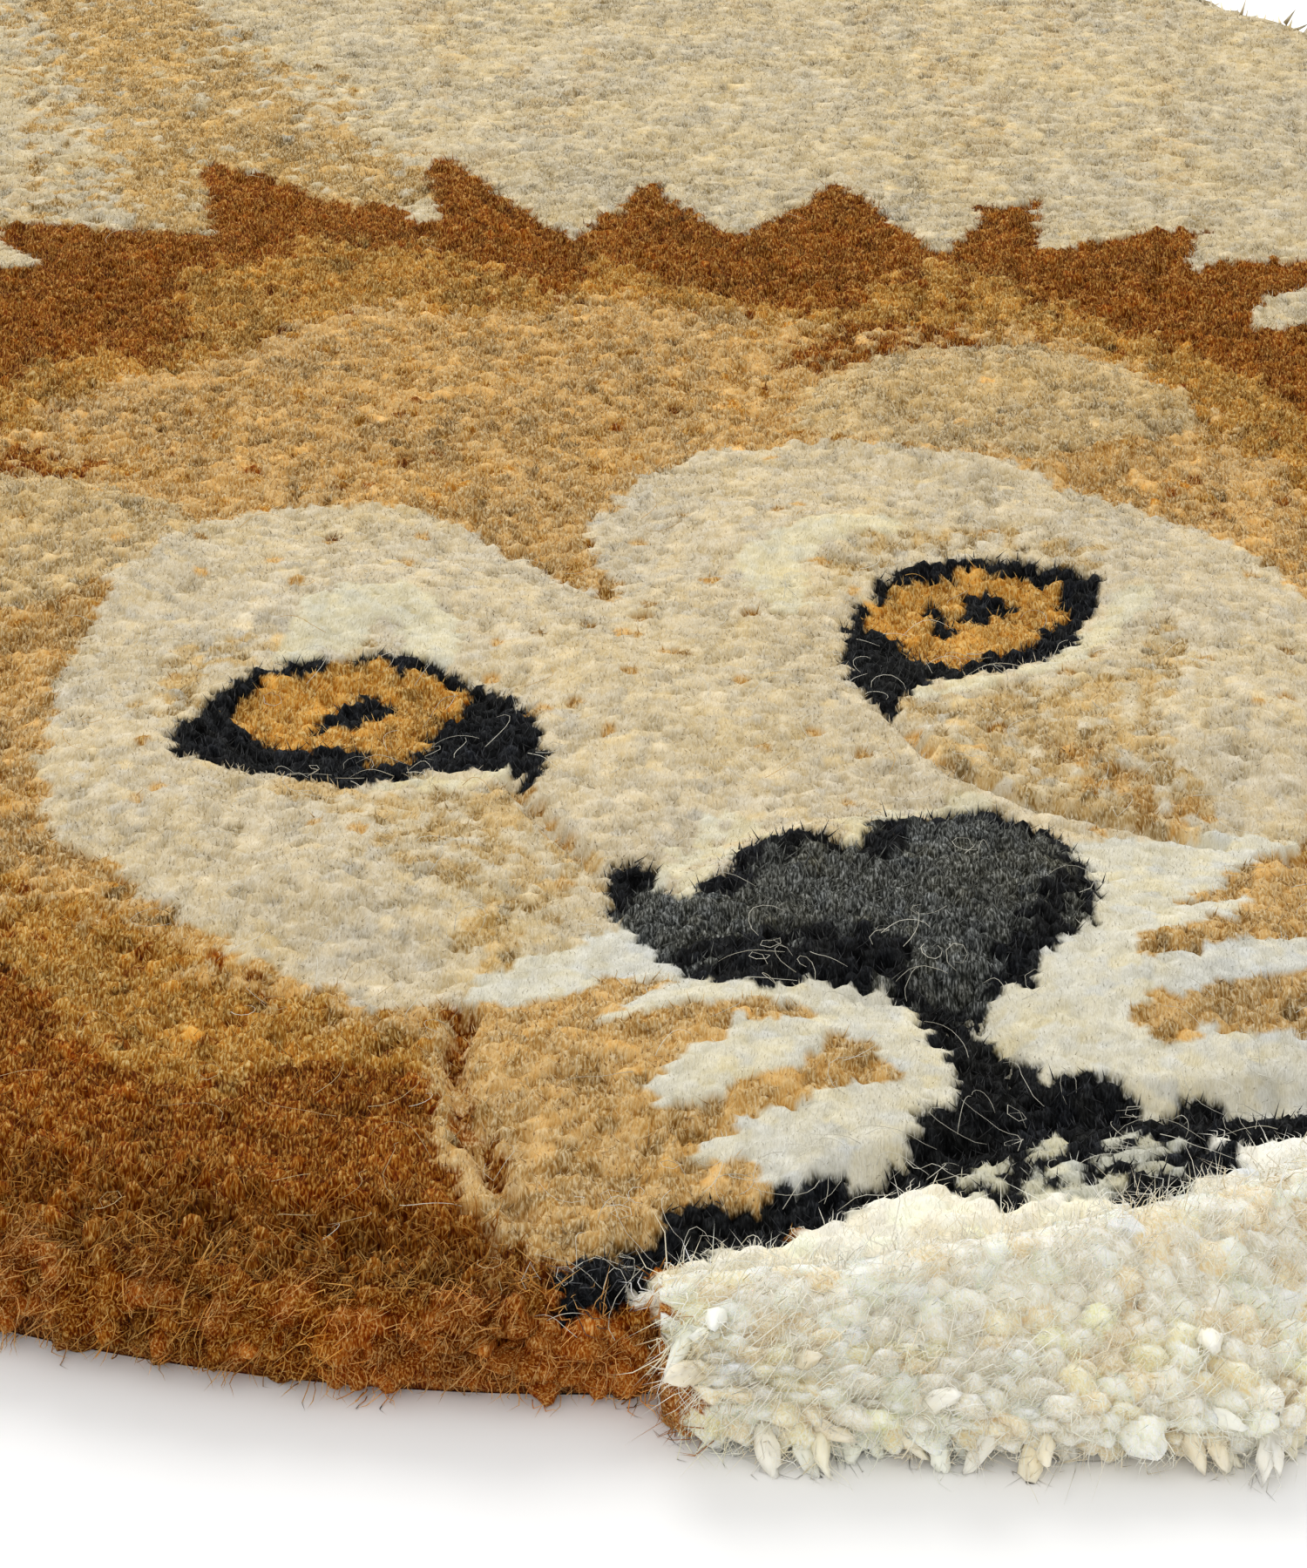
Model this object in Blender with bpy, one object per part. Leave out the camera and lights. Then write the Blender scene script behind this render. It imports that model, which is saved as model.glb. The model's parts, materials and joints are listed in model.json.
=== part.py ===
"""Hand-tufted wool rug in the shape of a lion's pelt, lying flat on the floor.

Metres, +Z up. Seen from above, the chin points to -Y and the tail to +Y. All sizes are given in the
head's frame, whose origin lies on the floor midway between the eyes; the finished rug is then moved
so that the middle of its footprint is the origin.
"""
import math
import random

import bmesh
import bpy
from mathutils import Matrix, Vector, noise
from mathutils.geometry import delaunay_2d_cdt

# ---- driving dimensions -----------------------------------------------------------------------

PILE_HEIGHT = 0.018             # floor to the top of the plain pile, backing included
GAP = 0.0003                    # clearance between the rug and its separate chin strip

MANE_CENTRE_Y = 0.039           # the mane is a round of this centre and radius
MANE_RADIUS = 0.256
MANE_END_ANGLE = 12             # degrees above the mane's widest line, where the front leg leaves it
MANE_KEY_STEP = 12              # degrees between the outline's points along the mane
CURVE_STEPS = 40                # steps of the smooth curve between two points of the outline

# The right half of the outline behind the mane, from the head's side to the tip of the tail.
OUTLINE_COLUMNS = ("place", "across", "along")
OUTLINE = (
    ("pit before the front leg", 0.264, 0.113),
    ("front leg, front edge", 0.330, 0.128),
    ("wrist, front", 0.405, 0.118),
    ("front paw, inner toe", 0.462, 0.098),
    ("front paw, middle toe", 0.502, 0.124),
    ("front paw, outer toe", 0.507, 0.172),
    ("front paw, heel", 0.476, 0.218),
    ("wrist, back", 0.430, 0.252),
    ("front leg, back edge", 0.378, 0.314),
    ("armpit", 0.337, 0.376),
    ("ribs", 0.327, 0.460),
    ("waist", 0.298, 0.600),
    ("flank", 0.306, 0.690),
    ("haunch", 0.345, 0.785),
    ("hind leg, front edge", 0.405, 0.857),
    ("hind paw, front", 0.466, 0.903),
    ("hind paw, outer toe", 0.504, 0.955),
    ("hind paw, back", 0.482, 1.012),
    ("hock", 0.420, 1.018),
    ("hind leg, back edge", 0.345, 0.976),
    ("thigh", 0.255, 0.933),
    ("rump", 0.140, 0.936),
    ("tail, root", 0.056, 0.966),
    ("tail, middle", 0.034, 1.035),
    ("tail, before its tuft", 0.032, 1.120),
    ("tail tuft, widest", 0.050, 1.176),
    ("tail tuft, end", 0.033, 1.229),
    ("tail, tip", 0.000, 1.250),
)

# The rug's side, from the backing's edge up to where the flat top begins.
SIDE_COLUMNS = ("place", "inset", "height")
SIDE = (
    ("backing's edge", 0.0040, 0.0000),
    ("widest", 0.0000, 0.0065),
    ("shoulder", 0.0030, 0.0145),
)
TOP_INSET = 0.0116
TOP_INSET_AT_CHIN = 0.0055
CHIN_WALL_HEIGHT = 0.0150       # behind the chin strip the side is an upright wall of this height

# Ovals that are raised or sunk in the face; those off the middle line are on both sides.
# "edge" is the share of the oval over which it fades: 1 is a dome, less is a plateau.
RELIEF_COLUMNS = ("place", "across", "along", "half_width", "half_length", "rise", "edge")
RELIEF = (
    ("eye patch", 0.066, -0.004, 0.068, 0.104, 0.0022, 0.35),
    ("muzzle pad", 0.043, -0.143, 0.047, 0.040, 0.0055, 1.00),
    ("nose", 0.000, -0.106, 0.046, 0.035, 0.0045, 0.40),
    ("bridge", 0.000, -0.025, 0.036, 0.080, 0.0032, 1.00),
    ("brow", 0.054, 0.044, 0.034, 0.022, 0.0022, 1.00),
    ("eye socket", 0.066, -0.006, 0.038, 0.028, -0.0036, 0.55),
    ("cheek", 0.092, -0.068, 0.044, 0.042, 0.0022, 1.00),
    ("ear", 0.115, 0.094, 0.050, 0.046, 0.0030, 0.35),
    ("chin", 0.000, -0.208, 0.080, 0.022, 0.0020, 0.80),
)

# Lines that are carved into the pile, on both sides of the face.
GROOVE_COLUMNS = ("place", "half_width", "depth", "route")
GROOVES = (
    ("beside the muzzle", 0.006, 0.0040,
     ((0.072, -0.104), (0.082, -0.126), (0.088, -0.148), (0.086, -0.172))),
    ("eye to nose", 0.005, 0.0026, ((0.037, -0.040), (0.035, -0.058), (0.036, -0.074))),
    ("mouth", 0.0075, 0.0036,
     ((0.000, -0.173), (0.028, -0.181), (0.054, -0.186), (0.075, -0.187))),
    ("under the nose", 0.007, 0.0024, ((0.000, -0.140), (0.000, -0.156), (0.000, -0.172))),
)

LUMP_SIZE = 0.016               # spacing of the low lumps in the pile
LUMP_RISE = 0.0007
CHIN_LUMP_SIZE = 0.009          # the shaggy chin is rougher
CHIN_LUMP_RISE = 0.0030
CHIN_TOP_Y = -0.189             # the shaggy chin begins below this line,
CHIN_TOP_HALF_WIDTH = 0.080     # within this distance of the middle,
CHIN_FADE = 0.010               # and sets in over this distance
EDGE_RIPPLE = 0.0016            # how far the rim wanders in and out
EDGE_RIPPLE_SIZE = 0.024

FACE_POINT_SPACING = 0.0068
HEAD_POINT_SPACING = 0.0130
BODY_POINT_SPACING = 0.0320
HEAD_RIM_SPACING = 0.0110
BODY_RIM_SPACING = 0.0200
FACE_REACH = (0.100, -0.198, 0.075)     # half width, lowest and highest line of the carved face

# The strip of long locks round the chin.
CHIN_HALF_ANGLE = 17.5          # degrees each side of the middle line, about the mane's centre
CHIN_WALL_MARGIN = 1.5          # degrees that the upright wall runs on past the strip,
CHIN_WALL_FADE = 4.0            # and degrees over which it then turns into the rounded side
STRIP_DEPTH_AT_END = 0.0030
STRIP_DEPTH_AT_MIDDLE = 0.0085
LOCK_LENGTH_AT_END = 0.35       # share of a tier's lock length, full in the middle of the chin
CHIN_POINT = 1.3                # how pointed the chin is: 1 is a straight taper to its ends
LOCK_COLUMNS_ACROSS = 30
LOCK_INSET = 0.00055            # leaves the locks 1.1 mm apart at their roots
LOCK_SWAY = 4.0                 # degrees, the most that a lock leans to a side
LOCK_SEED = 7
LOCK_TIERS_COLUMNS = ("place", "low", "high", "length", "droop")
LOCK_TIERS = (
    ("on the floor", 0.0000, 0.0050, 0.0245, 0.0),
    ("middle", 0.0050, 0.0100, 0.0215, 8.0),
    ("top", 0.0100, 0.0150, 0.0165, 2.0),
)
LOCK_TAPER = (0.96, 0.84, 0.66, 0.36)   # width at each section, as a share of the root's

PILE_COLOUR = (0.560, 0.430, 0.250, 1.0)
CHIN_COLOUR = (0.700, 0.620, 0.440, 1.0)


# ---- small helpers ----------------------------------------------------------------------------

def rows(columns, table):
    """The rows of a table, each as a dictionary of its named columns."""
    return [dict(zip(columns, row)) for row in table]


def smoothstep(value):
    """0 below 0, 1 above 1 and an even slope between."""
    value = min(max(value, 0.0), 1.0)
    return value * value * (3.0 - 2.0 * value)


def wander(point, size, layer):
    """A smooth value from about -1 to 1, which varies over the given distance."""
    return noise.noise(Vector((point.x / size, point.y / size, layer)))


def distance_to_segment(point, start, end):
    """The distance from a point to a straight line between two others."""
    run = end - start
    share = min(max((point - start).dot(run) / run.length_squared, 0.0), 1.0)
    return (point - start - run * share).length


def new_collection(name):
    """A collection linked to the scene."""
    collection = bpy.data.collections.new(name)
    bpy.context.scene.collection.children.link(collection)
    return collection


def wool(name, colour):
    """A matt wool finish."""
    material = bpy.data.materials.new(name)
    material.use_nodes = True
    shader = material.node_tree.nodes["Principled BSDF"]
    shader.inputs["Base Color"].default_value = colour
    shader.inputs["Roughness"].default_value = 0.95
    shader.inputs["Metallic"].default_value = 0.0
    return material


def add_object(name, bm, material, collection):
    """An object made from a bmesh, which is freed."""
    mesh = bpy.data.meshes.new(name)
    bm.to_mesh(mesh)
    bm.free()
    mesh.shade_smooth()
    mesh.materials.append(material)
    obj = bpy.data.objects.new(name, mesh)
    collection.objects.link(obj)
    return obj


# ---- the outline ------------------------------------------------------------------------------

def half_outline():
    """The outline's points on the right, from the middle of the chin to the tip of the tail."""
    points = []
    steps = round((90 + MANE_END_ANGLE) / MANE_KEY_STEP)
    for index in range(steps + 1):
        angle = math.radians(-90 + (90 + MANE_END_ANGLE) * index / steps)
        points.append(Vector((MANE_RADIUS * math.cos(angle),
                              MANE_CENTRE_Y + MANE_RADIUS * math.sin(angle))))
    points[0].x = 0.0
    points += [Vector((row["across"], row["along"])) for row in rows(OUTLINE_COLUMNS, OUTLINE)]
    return points


def smooth_loop(keys):
    """A closed Catmull-Rom curve through the key points."""
    count = len(keys)
    curve = []
    for index in range(count):
        a, b, c, d = (keys[(index + offset) % count] for offset in (-1, 0, 1, 2))
        for step in range(CURVE_STEPS):
            t = step / CURVE_STEPS
            curve.append(0.5 * (2 * b + (c - a) * t + (2 * a - 5 * b + 4 * c - d) * t * t
                                + (3 * b - a - 3 * c + d) * t ** 3))
    return curve


def respace(curve):
    """Points along a closed curve, closer round the head than round the body."""
    spaced = [curve[0]]
    travelled = 0.0
    for before, after in zip(curve, curve[1:] + curve[:1]):
        travelled += (after - before).length
        spacing = HEAD_RIM_SPACING if after.y < OUTLINE[0][2] else BODY_RIM_SPACING
        if travelled >= spacing and (after - curve[0]).length > 0.5 * spacing:
            spaced.append(after)
            travelled = 0.0
    return spaced


def pelt_outline():
    """The whole outline, counterclockwise from the middle of the chin."""
    right = half_outline()
    left = [Vector((-point.x, point.y)) for point in reversed(right[1:-1])]
    return respace(smooth_loop(right + left))


def outward_normals(outline):
    """The sideways unit vector that points off the rug at each point of the outline."""
    normals = []
    for before, after in zip(outline[-1:] + outline[:-1], outline[1:] + outline[:1]):
        run = (after - before).normalized()
        normals.append(Vector((run.y, -run.x)))
    return normals


def chin_share(point):
    """1 along the chin strip, 0 well away from it."""
    if point.y > MANE_CENTRE_Y:
        return 0.0
    angle = abs(math.degrees(math.atan2(point.x, MANE_CENTRE_Y - point.y)))
    return 1.0 - smoothstep((angle - CHIN_HALF_ANGLE - CHIN_WALL_MARGIN) / CHIN_WALL_FADE)


def side_ring(outline, normals, inset, layer):
    """The outline moved inwards, and rippled except behind the chin strip."""
    ring = []
    for point, normal in zip(outline, normals):
        chin = chin_share(point)
        ripple = EDGE_RIPPLE * wander(point, EDGE_RIPPLE_SIZE, layer)
        ring.append(point - normal * ((inset + EDGE_RIPPLE + ripple) * (1.0 - chin)))
    return ring


# ---- the top ----------------------------------------------------------------------------------

def oval_rise(point):
    """How far the raised and sunk ovals lift a point of the pile."""
    rise = 0.0
    for oval in rows(RELIEF_COLUMNS, RELIEF):
        across = (abs(point.x) - oval["across"]) / oval["half_width"]
        along = (point.y - oval["along"]) / oval["half_length"]
        rise += oval["rise"] * smoothstep((1.0 - math.hypot(across, along)) / oval["edge"])
    return rise


def groove_depth(point):
    """How deep the carved lines are at a point of the pile."""
    deepest = 0.0
    mirrored = Vector((abs(point.x), point.y))
    for groove in rows(GROOVE_COLUMNS, GROOVES):
        route = [Vector(place) for place in groove["route"]]
        near = min(distance_to_segment(mirrored, start, end) for start, end in zip(route, route[1:]))
        deepest = max(deepest, groove["depth"] * smoothstep(1.0 - near / groove["half_width"]))
    return deepest


def pile_top(point):
    """The height of the pile above the floor."""
    lumps = LUMP_RISE * wander(point, LUMP_SIZE, 1.5)
    in_chin = (smoothstep((CHIN_TOP_Y - point.y) / CHIN_FADE)
               * smoothstep((CHIN_TOP_HALF_WIDTH - abs(point.x)) / CHIN_FADE))
    shag = in_chin * CHIN_LUMP_RISE * wander(point, CHIN_LUMP_SIZE, 2.5)
    return PILE_HEIGHT + lumps + shag + oval_rise(point) - groove_depth(point)


def line_beside(route, sideways):
    """A route moved sideways and cut into runs of even length."""
    moved = []
    for index, place in enumerate(route):
        run = (route[min(index + 1, len(route) - 1)] - route[max(index - 1, 0)]).normalized()
        moved.append(place + Vector((run.y, -run.x)) * sideways)
    line = [moved[0]]
    for start, end in zip(moved, moved[1:]):
        steps = max(1, round((end - start).length / FACE_POINT_SPACING))
        line += [start.lerp(end, (step + 1) / steps) for step in range(steps)]
    return line


def groove_lines():
    """The middle and the two banks of each carved groove, on both sides of the face."""
    lines = []
    for groove in rows(GROOVE_COLUMNS, GROOVES):
        route = [Vector(place) for place in groove["route"]]
        on_middle = max(place.x for place in route) == 0.0
        for bank in (-1.0, 0.0, 1.0):
            line = line_beside(route, bank * groove["half_width"])
            lines.append(line)
            if not on_middle:
                lines.append([Vector((-place.x, place.y)) for place in line])
    return lines


def spread_points(spacing, low, high):
    """A field of points in even triangles between two corners."""
    pitch = spacing * math.sqrt(0.75)
    for row in range(int((high.y - low.y) / pitch) + 1):
        shift = 0.5 * spacing * (row % 2)
        for column in range(int((high.x - low.x) / spacing) + 1):
            yield Vector((low.x + shift + column * spacing, low.y + row * pitch))


def in_face(point, margin=0.0):
    """Whether a point lies in the carved face, grown by a margin."""
    half_width, lowest, highest = FACE_REACH
    return (abs(point.x) < half_width + margin
            and lowest - margin < point.y < highest + margin)


def in_head(point, margin=0.0):
    """Whether a point lies in the mane's round, grown by a margin."""
    return math.hypot(point.x, point.y - MANE_CENTRE_Y) < MANE_RADIUS + margin


def inner_points(ring, fixed):
    """Points inside the rug: close in the face, wider in the mane and widest in the body."""
    low = Vector((min(p.x for p in ring), min(p.y for p in ring)))
    high = Vector((max(p.x for p in ring), max(p.y for p in ring)))
    edges = list(zip(ring, ring[1:] + ring[:1]))
    zones = (
        (FACE_POINT_SPACING, in_face),
        (HEAD_POINT_SPACING, lambda p: in_head(p) and not in_face(p, 0.4 * HEAD_POINT_SPACING)),
        (BODY_POINT_SPACING, lambda p: not in_head(p, 0.4 * BODY_POINT_SPACING)),
    )
    points = []
    for spacing, belongs in zones:
        for point in spread_points(spacing, low, high):
            if not belongs(point) or not is_inside(point, edges):
                continue
            if min((point - other).length for other in fixed) < 0.6 * spacing:
                continue
            if min(distance_to_segment(point, *edge) for edge in edges) < 0.5 * spacing:
                continue
            points.append(point)
    return points


def is_inside(point, edges):
    """Whether a point lies inside a closed line."""
    inside = False
    for start, end in edges:
        if (start.y > point.y) != (end.y > point.y):
            cross = start.x + (point.y - start.y) / (end.y - start.y) * (end.x - start.x)
            inside ^= point.x < cross
    return inside


# ---- the pieces -------------------------------------------------------------------------------

def add_side(bm, outline, normals):
    """The soft rounded side, ring by ring from the floor up, and the flat underside."""
    rings = []
    for layer, side in enumerate(rows(SIDE_COLUMNS, SIDE)):
        level = layer / (len(SIDE) - 1)
        ring = side_ring(outline, normals, side["inset"], layer + 0.5)
        verts = []
        for reference, place in zip(outline, ring):
            height = side["height"]
            height += chin_share(reference) * (CHIN_WALL_HEIGHT * level - height)
            verts.append(bm.verts.new((place.x, place.y, height)))
        rings.append(verts)
    for lower, upper in zip(rings, rings[1:]):
        add_band(bm, lower, upper)
    bm.faces.new(list(reversed(rings[0])))
    return rings[-1]


def add_band(bm, lower, upper):
    """A closed band of faces between two rings of points."""
    for index in range(len(lower)):
        after = (index + 1) % len(lower)
        bm.faces.new((lower[index], lower[after], upper[after], upper[index]))


def add_top(bm, ring):
    """The carved, lumpy top inside a ring. Returns the ring's points in the mesh."""
    flat = list(ring)
    links = []
    for line in groove_lines():
        first = len(flat)
        flat += line
        links += [(first + step, first + step + 1) for step in range(len(line) - 1)]
    flat += inner_points(ring, flat)
    triangles_inside = 1
    places, _, faces, origins, _, _ = delaunay_2d_cdt(
        flat, links, [list(range(len(ring)))], triangles_inside, 1e-6)
    top = [bm.verts.new((place.x, place.y, pile_top(place))) for place in places]
    for face in faces:
        bm.faces.new([top[index] for index in face])
    vert_of = {old: vert for vert, old_ones in zip(top, origins) for old in old_ones}
    return [vert_of[index] for index in range(len(ring))]


def build_pile(collection):
    """The rug itself: flat underneath, with a soft rounded side and a carved, lumpy top."""
    outline = pelt_outline()
    normals = outward_normals(outline)
    top_ring = [place - normal * (TOP_INSET + chin_share(place) * (TOP_INSET_AT_CHIN - TOP_INSET))
                for place, normal in zip(outline, normals)]
    bm = bmesh.new()
    shoulder = add_side(bm, outline, normals)
    add_band(bm, shoulder, add_top(bm, top_ring))
    return add_object("rug_pile", bm, wool("pile wool", PILE_COLOUR), collection)


def chin_fullness(share):
    """How full the chin is at a share of the way from its middle to its end: 1 down to 0."""
    return (1.0 - min(abs(share), 1.0)) ** CHIN_POINT


def bar_bent_round_chin():
    """The plain strip: a bar cut into one cell for each lock and bent round the chin."""
    bm = bmesh.new()
    bmesh.ops.create_cube(bm, size=1.0)
    bmesh.ops.translate(bm, verts=bm.verts, vec=(0.0, 0.5, 0.5))
    cuts = [(Vector((index / LOCK_COLUMNS_ACROSS - 0.5, 0.0, 0.0)), Vector((1.0, 0.0, 0.0)))
            for index in range(1, LOCK_COLUMNS_ACROSS)]
    cuts += [(Vector((0.0, 0.0, tier["high"] / CHIN_WALL_HEIGHT)), Vector((0.0, 0.0, 1.0)))
             for tier in rows(LOCK_TIERS_COLUMNS, LOCK_TIERS)[:-1]]
    for place, across in cuts:
        bmesh.ops.bisect_plane(bm, geom=bm.verts[:] + bm.edges[:] + bm.faces[:], dist=1e-6,
                               plane_co=place, plane_no=across)
    outer = [face for face in bm.faces if face.normal.y > 0.5]
    for vert in bm.verts:
        share = 2.0 * vert.co.x
        angle = math.radians(-90.0 + share * CHIN_HALF_ANGLE)
        depth = STRIP_DEPTH_AT_END
        depth += (STRIP_DEPTH_AT_MIDDLE - STRIP_DEPTH_AT_END) * chin_fullness(share)
        radius = MANE_RADIUS + GAP + vert.co.y * depth
        vert.co = Vector((radius * math.cos(angle), MANE_CENTRE_Y + radius * math.sin(angle),
                          vert.co.z * CHIN_WALL_HEIGHT))
    bmesh.ops.recalc_face_normals(bm, faces=bm.faces)
    return bm, outer


def grow_lock(bm, root, tier, sway):
    """Draws one cell of the strip's outer wall out into a tapering lock."""
    middle = root.calc_center_median()
    shape = [vert.co - middle for vert in root.verts]
    outwards = Vector((middle.x, middle.y - MANE_CENTRE_Y)).normalized()
    outwards.rotate(Matrix.Rotation(math.radians(sway), 2))
    step = tier["length"] / len(LOCK_TAPER)
    fall = math.tan(math.radians(tier["droop"])) * step
    tip = root
    for count, share in enumerate(LOCK_TAPER, start=1):
        tip = bmesh.ops.extrude_discrete_faces(bm, faces=[tip])["faces"][0]
        height = middle.z - fall * count
        if tier["low"] == 0.0:
            height = -share * min(offset.z for offset in shape)
        centre = Vector((middle.x, middle.y, height))
        centre += Vector((outwards.x, outwards.y, 0.0)) * step * count
        for vert, offset in zip(tip.verts, shape):
            vert.co = centre + offset * share


def build_chin_shag(collection):
    """A narrow strip round the chin, with three tiers of long locks fused into it."""
    bm, outer = bar_bent_round_chin()
    chance = random.Random(LOCK_SEED)
    tiers = rows(LOCK_TIERS_COLUMNS, LOCK_TIERS)
    cells = [(tier, face) for tier in tiers for face in outer
             if tier["low"] < face.calc_center_median().z < tier["high"]]
    bmesh.ops.inset_individual(bm, faces=[face for _, face in cells], thickness=LOCK_INSET)
    for tier, cell in cells:
        middle = cell.calc_center_median()
        angle = math.degrees(math.atan2(middle.x, MANE_CENTRE_Y - middle.y))
        share = LOCK_LENGTH_AT_END
        share += (1.0 - LOCK_LENGTH_AT_END) * chin_fullness(angle / CHIN_HALF_ANGLE)
        length = tier["length"] * share * chance.uniform(0.86, 1.0)
        grow_lock(bm, cell, dict(tier, length=length), chance.uniform(-LOCK_SWAY, LOCK_SWAY))
    return add_object("chin_shag", bm, wool("chin wool", CHIN_COLOUR), collection)


def centre_on_floor(objects):
    """Moves the meshes so that the middle of their footprint is the origin."""
    corners = [vert.co for obj in objects for vert in obj.data.vertices]
    middle = Vector((0.5 * (min(c.x for c in corners) + max(c.x for c in corners)),
                     0.5 * (min(c.y for c in corners) + max(c.y for c in corners)), 0.0))
    for obj in objects:
        obj.data.transform(Matrix.Translation(-middle))


def main():
    """Builds the rug and stands the middle of its footprint on the origin."""
    for obj in list(bpy.data.objects):
        bpy.data.objects.remove(obj, do_unlink=True)
    collection = new_collection("lion rug")
    centre_on_floor([build_pile(collection), build_chin_shag(collection)])


main()
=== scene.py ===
"""Looks of a hand-tufted wool rug in the shape of a lion's pelt.

The pile's tufts are modelled, finely on the head and neck and more coarsely on the rest, and so are the
long locks round the chin and the loose fibres. Each takes its yarn from a drawing of the lion's face,
mane and back. Metres, +Z up. Tables give their places in the head's frame, in millimetres: its origin
lies on the floor midway between the eyes, x runs to the right as the face is looked at, and y runs from
the chin to the tail.
"""
from __future__ import annotations

import json
import logging
import math
from dataclasses import dataclass, field
from enum import Enum
from functools import cached_property
from typing import Sequence

import bpy
import numpy as np
from bpy.types import Collection, Material, Mesh, Node, NodeSocket, NodeTree, Object
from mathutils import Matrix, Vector
from mathutils.geometry import delaunay_2d_cdt
from mathutils.kdtree import KDTree

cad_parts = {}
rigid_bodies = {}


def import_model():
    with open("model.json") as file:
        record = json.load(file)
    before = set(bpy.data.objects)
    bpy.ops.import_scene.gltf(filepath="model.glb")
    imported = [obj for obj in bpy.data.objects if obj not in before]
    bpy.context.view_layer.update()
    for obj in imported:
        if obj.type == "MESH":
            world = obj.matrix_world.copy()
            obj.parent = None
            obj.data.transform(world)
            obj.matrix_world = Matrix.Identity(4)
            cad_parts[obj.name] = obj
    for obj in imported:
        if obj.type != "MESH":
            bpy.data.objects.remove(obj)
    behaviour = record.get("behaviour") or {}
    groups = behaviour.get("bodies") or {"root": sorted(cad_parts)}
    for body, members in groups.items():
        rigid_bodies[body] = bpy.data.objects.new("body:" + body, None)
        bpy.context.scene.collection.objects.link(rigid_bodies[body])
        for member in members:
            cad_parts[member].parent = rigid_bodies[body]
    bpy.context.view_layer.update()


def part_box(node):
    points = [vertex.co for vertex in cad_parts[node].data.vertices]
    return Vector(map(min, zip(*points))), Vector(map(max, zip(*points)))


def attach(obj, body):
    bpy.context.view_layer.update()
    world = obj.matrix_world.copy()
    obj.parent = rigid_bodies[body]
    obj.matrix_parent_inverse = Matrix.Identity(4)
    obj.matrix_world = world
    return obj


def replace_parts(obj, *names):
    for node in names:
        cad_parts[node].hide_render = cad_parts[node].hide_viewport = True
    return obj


LOG = logging.getLogger("lion rug")
MM = 0.001
BODY = "root"

GOLDEN_ANGLE = 2.399963         # radians between a tuft's fibres, which spreads them evenly
STREAK_STRETCH = 0.28           # the share of its length that a streak in the wool keeps
PALEST = 0.92                   # the palest that a fibre's colour gets
LEAST_HEIGHT = 0.0002           # the lowest that a tuft reaches over the floor

Array = np.ndarray
Keys = Sequence[tuple[float, float]]
Feeds = dict[int | str, object]
Sections = Sequence[tuple[float, float, float, float]]
Chance = np.random.Generator
seeded = np.random.default_rng


# ---- numbers that vary smoothly ----

def smoothstep(value: Array) -> Array:
    """0 below 0, 1 above 1 and an even slope between."""
    value = np.clip(value, 0.0, 1.0)
    return value * value * (3.0 - 2.0 * value)


def cell_value(column: Array, row: Array, seed: int) -> Array:
    """A repeatable number from -1 to 1 for each cell of an endless square grid.

    Args:
        column: whole numbers across.
        row: whole numbers along.
        seed: another set of numbers for each seed.

    Returns:
        One number for each cell.
    """
    mixed = (column * 73856093) ^ (row * 19349663) ^ (seed * 83492791)
    mixed = ((mixed ^ (mixed >> 13)) * 1274126177) & 0x7FFFFFFF
    mixed = (mixed ^ (mixed >> 16)) & 0xFFFFFF
    return mixed / float(0x7FFFFF) - 1.0


def drift(points: Array, size: float | tuple[float, float], seed: int) -> Array:
    """Smooth values from -1 to 1.

    Args:
        points: places, as rows of x and y.
        size: the distance over which the values change, or one each for x and y.
        seed: another field for each seed.

    Returns:
        One value for each place.
    """
    scaled = points[:, :2] / np.asarray(size, float)
    low = np.floor(scaled).astype(np.int64)
    share = smoothstep(scaled - low)
    total = np.zeros(len(points))
    for right in (0, 1):
        for up in (0, 1):
            across = share[:, 0] if right else 1.0 - share[:, 0]
            along = share[:, 1] if up else 1.0 - share[:, 1]
            total += across * along * cell_value(low[:, 0] + right, low[:, 1] + up, seed)
    return total


def drift_pair(points: Array, size: float, seed: int) -> Array:
    """Smooth shifts across and along, each from -1 to 1."""
    return np.stack([drift(points, size, seed), drift(points, size, seed + 1)], axis=1)


def lightness(colour: Array) -> Array:
    """How light each linear colour looks, from its red, green and blue."""
    return colour[:, :3] @ (0.21, 0.72, 0.07)


# ---- lines and areas on the floor ----

def catmull_rom(before: Array, start: Array, end: Array, after: Array, share: Array) -> Array:
    """The curve from the start to the end of four points in a row, at shares of the way.

    Args:
        before: the point before the start.
        start: where the stretch begins.
        end: where it ends.
        after: the point after the end.
        share: how far along the stretch.

    Returns:
        The curve's points.
    """
    linear = end - before
    square = 2 * before - 5 * start + 4 * end - after
    cubic = 3 * start - before - 3 * end + after
    return 0.5 * (2 * start + linear * share + square * share * share + cubic * share ** 3)


def smooth_loop(keys: Array, steps: int) -> Array:
    """A closed Catmull-Rom curve.

    Args:
        keys: the points that it passes through.
        steps: points of the curve for each key.

    Returns:
        The curve's points.
    """
    around = [np.roll(keys, shift, axis=0)[:, None, :] for shift in (1, 0, -1, -2)]
    share = (np.arange(steps) / steps)[None, :, None]
    return catmull_rom(*around, share).reshape(-1, 2)


def length_so_far(line: Array) -> Array:
    """The length travelled along a line at each of its points."""
    return np.concatenate([[0.0], np.cumsum(np.hypot(*np.diff(line, axis=0).T))])


def points_along(line: Array, travelled: Array, marks: Array) -> Array:
    """The points of a line at lengths along it, given the length travelled at each of its own points."""
    return np.stack([np.interp(marks, travelled, line[:, axis]) for axis in (0, 1)], axis=1)


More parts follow.
